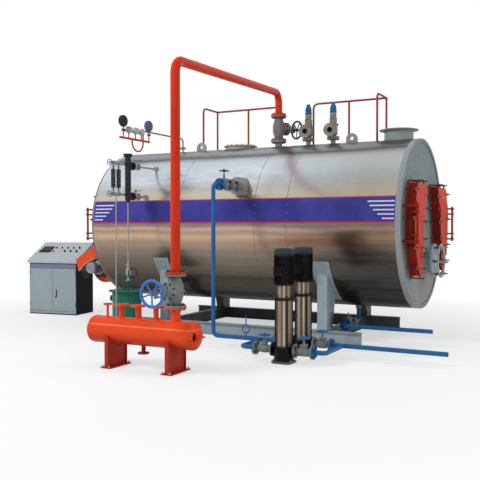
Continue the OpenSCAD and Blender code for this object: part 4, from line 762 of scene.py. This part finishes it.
for x in SAFETY_X:
    steam_bolts.flange_bolts((x, 0, 2.92), Z, 0.072, 4, 0.008, 0.04)
    joint_rings.disc((x, 0, 2.9385), Z, 0.003, 0.0945, 40)
    steam_bolts.flange_bolts((x, 0, 3.13), Z, 0.068, 6, 0.005, 0.016, thread=1.4)
piece("steam_valve_bolts", steam_bolts, "black_bolt")
piece("steam_joint_rings", joint_rings, "gasket")
for body, centre, stem in (("main_steam_wheel", MAIN_VALVE + MAIN_STEM * 0.3695, MAIN_STEM),
                           ("header_wheel", HEADER_VALVE - Y * 0.4695, -Y)):
    collar = Shape()
    collar.hoop(centre, stem, 0.003, 0.021, 0.018, 24)
    hexagon = [(0, 0.0185), (0.009, 0.0185), (0.009, 0.0182), (0, 0.0182)]
    collar.lathe(centre + stem * 0.0032, stem, hexagon, 6, closed=True)
    piece(body + "_collar", collar, "zinc", body)

# Safety valves: spring windows, lever pins and the caps' collars
windows, collars = Shape(), Shape()
for x in SAFETY_X:
    windows.lathe((x, -0.0415, 3.235), -Y, [(0, 0.011), (0.004, 0.0105)], 16)
    windows.lathe((x + 0.0415, 0, 3.235), X, [(0, 0.011), (0.004, 0.0105)], 16)
    windows.disc((x, -0.156, 3.05), Y, 0.004, 0.0385, 32)
    for z, profile in ((3.322, [(0, 0.054), (0.02, 0.054), (0.026, 0.048), (0.0, 0.046)]),
                       (3.37, [(0, 0.0505), (0.016, 0.0505), (0.022, 0.044), (0, 0.042)])):
        collars.lathe((x, 0, z), Z, profile, 32, closed=True)
    collars.lathe((x, 0, 3.436), Z, [(0, 0.032), (0.01, 0.030), (0.03, 0.029), (0.036, 0.022), (0.038, 0.01)])
    collars.disc((x - 0.012, 0.08, 3.341), X, 0.024, 0.007, 12)
piece("safety_valve_windows", windows, "gasket")
piece("safety_valve_collars", collars, "safety")

# Small line valves: flange joints, bonnets and wheel nuts
PUMP_PORT_Z = 0.15
FEED_X, FEED_Z = 1.391, 2.185
DRAIN_X, DRAIN_Z = 2.79, 0.225
LINE_FLANGE = (0.062, 4, 0.0072, 0.032)
LINE_BONNET = (0.041, 4, 0.005, 0.0168)
BONNET_RISE = 0.0616
line_bolts, bonnet_bolts, wheel_nuts = Shape(), Shape(), Shape()
for y in PUMP_Y:
    for x in (2.323, 2.553, 2.837, 3.067):
        line_bolts.flange_bolts((x - 0.016, y, PUMP_PORT_Z), X, *LINE_FLANGE)
    for x in (2.438, 2.952):
        bonnet_bolts.flange_bolts((x, y, PUMP_PORT_Z + BONNET_RISE), Z, *LINE_BONNET)
        wheel_nuts.nut((x, y, PUMP_PORT_Z + 0.18), Z, 0.006)
for y in (-1.27, -1.47, -1.70):
    line_bolts.flange_bolts((FEED_X, y + 0.016, FEED_Z), -Y, *LINE_FLANGE)
for y in (-0.33, -0.56):
    line_bolts.flange_bolts((DRAIN_X, y + 0.016, DRAIN_Z), -Y, *LINE_FLANGE)
bonnet_bolts.flange_bolts((FEED_X, -1.37, FEED_Z + BONNET_RISE), Z, 0.047, 6, 0.005, 0.0168)
for x, y, z in ((FEED_X, -1.585, FEED_Z), (DRAIN_X, -0.445, DRAIN_Z)):
    bonnet_bolts.flange_bolts((x, y, z + BONNET_RISE), Z, *LINE_BONNET)
wheel_nuts.nut((FEED_X, -1.585, 2.395), Z, 0.006)
piece("line_flange_bolts", line_bolts, "black_bolt")
piece("line_bonnet_bolts", bonnet_bolts, "zinc")

# Water column: disc bolts, cock levers, glasses and unions
COLUMN = Vector((-0.245, -1.575, 0))
GLASS_Y, GLASS_RISE = (-1.799, -1.923), 0.02
column_bolts, unions, levers, glasses, clips = Shape(), Shape(), Shape(), Shape(), Shape()
for z in (2.06, 2.51):
    column_bolts.flange_bolts(along(COLUMN, y=0.104, z=z), Y, 0.046, 4, 0.005, 0.032)
    levers.box(along(COLUMN, x=0.055, y=0.186, z=z + 0.086), (0.13, 0.018, 0.007))
    column_bolts.nut(along(COLUMN, y=0.186, z=z + 0.0895), Z, 0.006)
    cock_z = z + GLASS_RISE
    up = 1 if z < 2.3 else -1
    for y in GLASS_Y:
        for side in (-1, 1):
            unions.lathe((COLUMN.x, y + side * 0.026, cock_z), Y * side,
                         [(0, 0.021), (0.022, 0.021), (0.026, 0.018)], 6, 0.2)
        unions.lathe((COLUMN.x, y, cock_z + up * 0.026), Z * up,
                     [(0, 0.0165), (0.02, 0.0165), (0.024, 0.013)], 6, 0.3)
    unions.disc((COLUMN.x, -1.705, cock_z), Y, 0.024, 0.022, 6)
    wheel_nuts.nut((COLUMN.x, -2.0265, cock_z), -Y, 0.0045)
for y in GLASS_Y:
    glasses.box((COLUMN.x, y, 2.305), (0.034, 0.0135, 0.2195))
    for i in range(6):
        for side in (-1, 1):
            for face in (-1, 1):
                clips.nut((COLUMN.x + face * 0.023, y + side * 0.0145, 2.19 + i * 0.046), X * face, 0.0032)
unions.disc((COLUMN.x, -1.861, 2.045), Z, 0.022, 0.016, 6)
unions.lathe(COLUMN + Z * 1.0515, Z, [(0, 0.017), (0.024, 0.017), (0.028, 0.012)], 6)
drain_way = heading(-30)
wheel_nuts.nut(COLUMN + Z * 0.9275 + drain_way * 0.1895, drain_way, 0.004)
piece("column_disc_bolts", column_bolts, "black_bolt")
piece("column_unions", unions, "fitting_grey", bevel=0.001)
piece("column_cock_levers", levers, "black_bolt", bevel=0.0015)
piece("gauge_glass_fronts", glasses, "glass", bevel=0.001)
piece("gauge_glass_screws", clips, "zinc")
piece("small_wheel_nuts", wheel_nuts, "zinc")

# Sample cooler: lid bolts, tank bands and drain ferrules
COOLER, LID_Z = Vector((-0.265, -1.58, 0)), 0.664
cooler_bolts, bands = Shape(), Shape()
cooler_bolts.nuts(ring_places(COOLER + Z * LID_Z, Z, 0.236, 8), Z, 0.0055)
for z in (0.03, 0.618):
    bands.hoop(COOLER + Z * z, Z, 0.022, 0.2152, 0.2205, 64)
bands.hoop(along(COOLER, x=-0.278, z=0.535), -X, 0.006, 0.03, 0.046, 32)
for x in (-0.425, -0.301):
    bands.lathe((x, -1.61, LID_Z), Z, [(0, 0.02), (0.016, 0.02), (0.02, 0.014)])
bands.lathe(COLUMN + Z * LID_Z, Z, [(0, 0.026), (0.014, 0.026), (0.02, 0.016)])
piece("cooler_lid_bolts", cooler_bolts, "zinc")
piece("cooler_bands", bands, "green")

# Top cover bolts, cladding rivets and the weld beads of the nozzles
RIVETS_ROUND = 72
cover_bolts, rivets, beads = Shape(), Shape(), Shape()
cover_bolts.nuts(ring_places((0.81, 0, 2.896), Z, 0.225, 16), Z, 0.008, 0.008)
for place in SEAMS:
    for i in range(RIVETS_ROUND):
        out = between(Z, Y, tau * (i + 0.5) / RIVETS_ROUND)
        # The first seam has none at its crown and foot
        if place > 0.5 or abs(out.y) > 0.05:
            rivets.lathe(Vector((place + 0.014, 0, AXIS_Z)) + out * SHELL_R, out,
                         [(0, 0.006), (0.0022, 0.0045), (0.003, 0.002)], 8)
piece("top_cover_bolts", cover_bolts, "zinc")
piece("cladding_rivets", rivets, "zinc")


def weld_ring(shape, x, r, bead, steps, drum, lift):
    """A bead round an upright branch where it meets a lying drum, which is given as its Y, Z and radius."""
    points = []
    for a in turns_of(steps):
        dy = r * sin(a)
        points.append((x + r * cos(a), drum[0] + dy, drum[1] + sqrt(drum[2] ** 2 - dy * dy) + lift))
    shape.tube(points, bead, 6, True)


for x, r in ((1.485, 0.054), (1.985, 0.038), (2.385, 0.038), (3.385, 0.205), (0.81, 0.24), (-0.282, 0.012)):
    weld_ring(beads, x, r + 0.0027, 0.0045, 48, (0, AXIS_Z, SHELL_R), 0.0018)
piece("nozzle_weld_beads", beads, "nozzle")

# Header: weld beads of its heads and branches, and foot bolts
header_beads, anchor = Shape(), Shape()
for x in (0.79, 2.09):
    middle = Vector((x, *HEADER[:2]))
    header_beads.tube([middle + between(Y, Z, a) * 0.1555 for a in turns_of(56)], 0.0035, 6, True)
for x, r in ((0.936, 0.014), (1.137, 0.03), (1.371, 0.03), (1.615, 0.03), (1.875, 0.054)):
    weld_ring(header_beads, x, r + 0.003, 0.004, 32, HEADER, 0.002)
piece("header_weld_beads", header_beads, "orange")
for x in (1.055, 1.875):
    for dx, dy in corners(0.0468, 0.188):
        anchor.nut((x + dx, HEADER_Y + dy, 0.012), Z, 0.007, 0.014)

# Pumps: foot bolts, stay bolt nuts, sleeve rings, fan cover grilles and terminal boxes
BOX_Z = 1.085
pump_dark, motor_trim = Shape(), Shape()
for y in PUMP_Y:
    base = Vector((PUMP_X, y, 0))
    for dx, dy in corners(0.11227, 0.06):
        anchor.nut(along(base, x=dx, y=dy, z=0.024), Z, 0.006, 0.01)
    pump_dark.nuts(ring_places(base + Z * 0.77, Z, 0.108, 4), Z, 0.008, 0.012)
    pump_dark.nuts(ring_places(base + Z * 0.938, Z, 0.117, 4), Z, 0.004)
    for z, profile in ((0.1845, [(0, 0.096), (0, 0.104), (0.014, 0.104), (0.018, 0.096)]),
                       (0.736, [(0, 0.0955), (0.004, 0.1), (0.018, 0.1), (0.018, 0.0955)])):
        pump_dark.lathe(base + Z * z, Z, profile, 40, closed=True)
    for k in range(5):
        motor_trim.hoop(base + Z * 1.3502, Z, 0.0025, 0.025 + k * 0.017, 0.02 + k * 0.017, 32)
    for a in turns_of(6):
        rot = Matrix.Rotation(a, 3, "Z")
        motor_trim.box(base + rot @ Vector((0.055, 0, 1.3515)), (0.075, 0.004, 0.0022), rot)
    motor_trim.box(along(base, y=-0.1675, z=BOX_Z), (0.106, 0.006, 0.096))
    for dx, dz in corners(0.043, 0.038):
        pump_dark.nut(along(base, x=dx, y=-0.1705, z=BOX_Z + dz), -Y, 0.0028)
    motor_trim.lathe(along(base, x=0.06, y=-0.13, z=1.06), X, [(0, 0.014), (0.014, 0.014), (0.018, 0.01)], 12)
piece("anchor_bolts", anchor, "zinc")
piece("pump_stay_nuts", pump_dark, "black_bolt")
piece("pump_motor_covers", motor_trim, "pump_black", bevel=0.001)

# Vent port: stud nuts and springs
vent_nuts, springs = Shape(), Shape()
for p in ring_places((0, 0, FURNACE_Z), X, 0.214, 6):
    for x, way, thread in ((3.879, -1, 0.006), (3.911, 1, 0.0), (4.0, 1, 0.0)):
        vent_nuts.nut(p + X * x, X * way, 0.009, thread)
    vent_nuts.nut(p + X * 4.0135, X, 0.009)
    coil = [p + X * (3.928 + 0.056 * k / 84) + between(Y, Z, k * 0.42) * 0.017 for k in range(85)]
    springs.tube(coil, 0.0028, 6)
piece("vent_port_nuts", vent_nuts, "zinc")
piece("vent_port_springs", springs, "black_bolt")

# Smoke doors: swing bolts round the edges, on the doors, and their eye brackets, on the plates.
# The near door's outline, in Y and Z from the boiler axis: arc, top, foot and the inner edge's three points
DOOR_R, DOOR_TOP, DOOR_LOW = 1.0, 0.53, -0.69
INNER_TOP, INNER_MID, INNER_LOW = (-0.33, DOOR_TOP), (-0.5, 0.0), (-0.6, DOOR_LOW)
SEAL_R, SEAL_TOP, SEAL_LOW = 1.0295, 0.5595, -0.7195


def edge_places():
    """Places round the near door's edge, each with its way outwards, in Y and Z from the boiler axis."""
    found = []
    for z in (0.43, 0.07, -0.3, -0.56):
        out = Vector((-sqrt(DOOR_R ** 2 - z * z), z)) / DOOR_R
        found.append((out * DOOR_R, out))
    for y, z, up in ((-0.74, DOOR_TOP, 1), (-0.48, DOOR_TOP, 1), (-0.67, DOOR_LOW, -1)):
        found.append((Vector((y, z)), Vector((0, up))))
    for heights, (end_y, end_z), out in (((0.40, 0.22, 0.04), INNER_TOP, (0.53, -0.17)),
                                         ((-0.2, -0.4, -0.6), INNER_LOW, (0.69, -0.1))):
        for z in heights:
            y = INNER_MID[0] + (end_y - INNER_MID[0]) * z / end_z
            found.append((Vector((y, z)), Vector(out).normalized()))
    return found


def seal_places():
    """The seal rope's line round the near door, in Y and Z from the boiler axis."""
    start = atan2(SEAL_TOP, -sqrt(SEAL_R ** 2 - SEAL_TOP ** 2))
    end = atan2(SEAL_LOW, -sqrt(SEAL_R ** 2 - SEAL_LOW ** 2)) + tau
    angles = [start + (end - start) * i / 40 for i in range(41)]
    return ([(SEAL_R * cos(a), SEAL_R * sin(a)) for a in angles]
            + [(-0.5698, SEAL_LOW), (-0.4702, 0.0), (-0.2905, SEAL_TOP)])


def door_point(rear, near, depth, yz):
    """A point outside an end plate, from its place on the near door."""
    x = REAR_X + depth if rear else FRONT_X - depth
    return Vector((x, yz[0] if near else -yz[0], AXIS_Z + yz[1]))


def door_trim(rear, near):
    """Swing bolts, washers, lugs and handle of one door, and its eye brackets and seal rope."""
    body = ("rear" if rear else "front") + "_door_" + ("near" if near else "far")
    way = X if rear else -X
    rods, washers, lugs, eyes, seal = Shape(), Shape(), Shape(), Shape(), Shape()
    for place, out in edge_places():
        outward = Vector((0, out[0] if near else -out[0], out[1]))
        side = way.cross(outward)
        rot = Matrix((way, outward, side)).transposed()
        at = door_point(rear, near, 0, place) + outward * 0.04
        rods.tube([at + way * 0.034, at + way * 0.192], 0.0075, 10)
        rods.lathe(at + way * 0.1525, way, [(0, 0.0135), (0.013, 0.0135), (0.015, 0.0115)], 6, 0.4)
        washers.disc(at + way * 0.147, way, 0.0055, 0.0175, 20)
        lugs.box(at + way * 0.139 - outward * 0.019, (0.016, 0.064, 0.046), rot)
        rods.disc(at + way * 0.034 - side * 0.011, side, 0.022, 0.012, 16)
        for s in (-1, 1):
            eyes.box(at + way * 0.0165 + side * s * 0.018, (0.033, 0.03, 0.008), rot)
    foot = door_point(rear, near, 0.16, (-0.63, -0.45))
    grip = foot + way * 0.045
    bar = [foot - way * 0.01, grip, grip + Z * 0.012, grip + Z * 0.12, foot - way * 0.01 + Z * 0.132]
    rods.tube(bar, 0.008, 10)
    piece(body + "_swing_bolts", rods, "black_bolt", body)
    piece(body + "_washers", washers, "zinc", body)
    piece(body + "_lugs", lugs, "door_red", body, bevel=0.002)
    piece(body + "_eye_brackets", eyes, "end_grey", bevel=0.001)
    seal.tube([door_point(rear, near, 0.0265, yz) for yz in seal_places()], 0.004, 6, True)
    piece(body + "_seal_rope", seal, "rope")


for rear in (True, False):
    for near in (True, False):
        door_trim(rear, near)

# Gauges: dial faces with plain marks, and hexagons on their cocks
GAUGE_X = -0.237
dials, marks, hexes = Shape(), Shape(), Shape()
facing = heading(174)
leftward = -Z.cross(facing)
for y in (-1.692, -1.051):
    centre = Vector((GAUGE_X, y, 3.158)) + facing * 0.0142
    dials.disc(centre, facing, 0.001, 0.0765, 48)
    for i in range(41):
        ray = between(leftward, Z, radians(225 - 270 * i / 40))
        size = 0.012 if i % 5 == 0 else 0.006
        rot = Matrix((ray, facing.cross(ray), facing)).transposed()
        marks.box(centre + ray * (0.07 - size / 2) + facing * 0.0014, (size, 0.0016, 0.0008), rot)
    needle = between(leftward, Z, radians(200))
    rot = Matrix((needle, facing.cross(needle), facing)).transposed()
    marks.box(centre + needle * 0.02 + facing * 0.0032, (0.074, 0.003, 0.001), rot)
    marks.lathe(centre + facing * 0.001, facing, [(0, 0.006), (0.004, 0.005)], 16)
    hexes.disc((GAUGE_X, y, 3.035), Z, 0.016, 0.014, 6)
    hexes.disc((GAUGE_X, y, 2.99), Z, 0.014, 0.013, 6)
    hexes.disc((GAUGE_X, y - 0.026, 3.025), -Y, 0.012, 0.012, 6)
for y in (-1.563, -1.397, -1.247):
    hexes.disc((GAUGE_X, y, 2.9835), Z, 0.014, 0.0165, 6)
    hexes.lathe((GAUGE_X, y - 0.058, 3.031), -Y, [(0, 0.014), (0.012, 0.014), (0.016, 0.009)], 12)
piece("gauge_dial_faces", dials, "dial_white")
piece("gauge_dial_marks", marks, "marks")
piece("gauge_hexagons", hexes, "fitting_grey")

# Burner: scroll bolts, motor grille, air intake trim and fixing bolts
MOTOR = Vector((FRONT_X - 0.636, -0.4955, 0.89))
burner_bolts, grille, trim = Shape(), Shape(), Shape()
for side in (-1, 1):
    for p in ring_places((FRONT_X - 0.516, side * 0.24, 0.918), Y, 0.2735, 14):
        if p.x < FRONT_X - 0.3 and p.z < FURNACE_Z:
            burner_bolts.nut(p, Y * side, 0.0048)
burner_bolts.nuts(ring_places((FRONT_X - 0.024, 0, FURNACE_Z), X, 0.226, 12), -X, 0.008, 0.008)
for k in range(5):
    grille.lathe(MOTOR, -Y, [(0, 0.012 + k * 0.0105), (0.0022, 0.012 + k * 0.0105),
                             (0.0022, 0.0155 + k * 0.0105), (0, 0.0155 + k * 0.0105)], 28, closed=True)
burner_bolts.nuts(ring_places((MOTOR.x, -0.26, MOTOR.z), -Y, 0.112, 4), -Y, 0.006, 0.006)
for side in (-1, 1):
    middle = Vector((INTAKE_X, side * 0.2385, INTAKE_Z))
    edge = [middle + between(Z, -X, radians(a)) * (INTAKE_R + 0.0046) for a in range(8, 52, 2)]
    trim.tube(edge, 0.0042, 8)
piece("burner_bolts", burner_bolts, "zinc")
piece("fan_motor_grille", grille, "motor_grey")
piece("air_intake_trim", trim, "trim_pale")

# Console: display, buttons, door handle, hinge barrels and vents
SLOPE_Y, SLOPE_Z = (-0.32, 0.25), (CONSOLE_H + 0.045, CONSOLE_H + 0.365)
HINGE_X, HINGE_Y = 0.483, -0.29
HANDLE_X = 0.073
slope = Vector((0, SLOPE_Y[1] - SLOPE_Y[0], SLOPE_Z[1] - SLOPE_Z[0])).normalized()
lift = Vector((0, -slope.z, slope.y))
desk_axes = CONSOLE_TURN @ Matrix((X, slope, lift)).transposed()
desk_up = CONSOLE_TURN @ lift


def on_desk(u, v, rise=0.0):
    """A point on the sloping desk; u runs along its width and v up its slope, both from 0 to 1."""
    y = SLOPE_Y[0] + (SLOPE_Y[1] - SLOPE_Y[0]) * v
    z = SLOPE_Z[0] + (SLOPE_Z[1] - SLOPE_Z[0]) * v
    return at_console(-0.525 + 1.05 * u, y, z) + desk_up * rise


bezel, screen, rings = Shape(), Shape(), Shape()
bezel.box(on_desk(0.196, 0.59, 0.006), (0.226, 0.2, 0.012), desk_axes)
screen.box(on_desk(0.196, 0.59, 0.0125), (0.19, 0.15, 0.002), desk_axes)
bezel.box(on_desk(0.09, 0.52, 0.004), (0.04, 0.12, 0.008), desk_axes)
piece("console_display_frame", bezel, "marks", bevel=0.002)
piece("console_display", screen, "screen")
BUTTONS = {"lamp_red": [(0.36, 0.68), (0.478, 0.68), (0.36, 0.49)],
           "lamp_green": [(0.598, 0.68), (0.717, 0.68)],
           "lamp_pale": [(0.478, 0.49)],
           "marks": [(0.838, 0.68), (0.598, 0.49), (0.717, 0.49), (0.838, 0.49)]}
for look, places in BUTTONS.items():
    caps = Shape()
    for u, v in places:
        caps.lathe(on_desk(u, v), desk_up, [(0, 0.018), (0.018, 0.018), (0.024, 0.0155), (0.026, 0.009)])
        rings.lathe(on_desk(u, v), desk_up, [(0, 0.026), (0.005, 0.0245), (0.007, 0.0195), (0, 0.019)], 28,
                    closed=True)
        if look == "marks":
            caps.box(on_desk(u, v, 0.03), (0.01, 0.034, 0.014), desk_axes)
    piece("console_buttons_" + look, caps, look)
piece("console_button_rings", rings, "zinc")
plate, handle, vents = Shape(), Shape(), Shape()
plate.box(at_console(HANDLE_X, -0.2955, 0.39), (0.03, 0.011, 0.145), CONSOLE_TURN)
handle.tube([at_console(HANDLE_X, y, z) for y, z in ((-0.298, 0.445), (-0.316, 0.438), (-0.318, 0.41),
                                                     (-0.311, 0.34))], 0.0085, 10)
handle.disc(at_console(HANDLE_X, -0.301, 0.45), CONSOLE_TURN @ -Y, 0.005, 0.01, 20)
piece("console_handle_plate", plate, "marks", "console_door_right", bevel=0.002)
piece("console_handle", handle, "lamp_pale", "console_door_right")
for side, body in ((-1, "console_door_left"), (1, "console_door_right")):
    hinges = Shape()
    for z in (0.17, 0.74):
        hinges.tube([at_console(side * HINGE_X, HINGE_Y, z), at_console(side * HINGE_X, HINGE_Y, z + 0.05)],
                    0.0055, 10)
    piece(body + "_hinges", hinges, "black_bolt", body)
    for k in range(8):
        vents.box(at_console(side * (CONSOLE_W / 2 + 0.0015), 0.02, 0.66 + k * 0.018), (0.004, 0.2, 0.007),
                  CONSOLE_TURN)
piece("console_vents", vents, "black_bolt", bevel=0.0008)


# Floor and world: a white surround for the camera and for reflections, with the shadow kept
def surround_share(t):
    """1 for the rays that see the white surround, 0 for those that carry its light."""
    path = t.new("ShaderNodeLightPath").outputs
    return t.most(t.most(path["Is Camera Ray"], path["Is Glossy Ray"]), path["Is Transmission Ray"])


def stage_material():
    """White floor, glowing by itself for the camera, less so round the object, where it shows the shadow."""
    t = Look("floor_white")
    t.set(color=(0.9, 0.9, 0.9), rough=0.9)
    x, y, _ = t.xyz()
    far = t.part(t.reach(t.sub(x, 1.2), t.add(y, 1.5)), 4.0, 8.0)
    share = t.mul(surround_share(t), t.add(0.55, t.mul(far, 0.45)))
    t.show(share, t.bsdf.outputs[0], t.glow("ShaderNodeEmission", (1, 1, 1), 1.0))


stage_material()
floor = mesh_object("floor", [(-60, -60, 0), (60, -60, 0), (60, 60, 0), (-60, 60, 0)], [(0, 1, 2, 3)],
                    "floor_white")
floor.location.z = -0.001

scene.world = bpy.data.worlds.new("world")
around = Nodes(scene.world, "ShaderNodeOutputWorld")
around.show(surround_share(around), around.glow("ShaderNodeBackground", (0.84, 0.87, 0.9), 0.4),
            around.glow("ShaderNodeBackground", (1, 1, 1), 1.0))
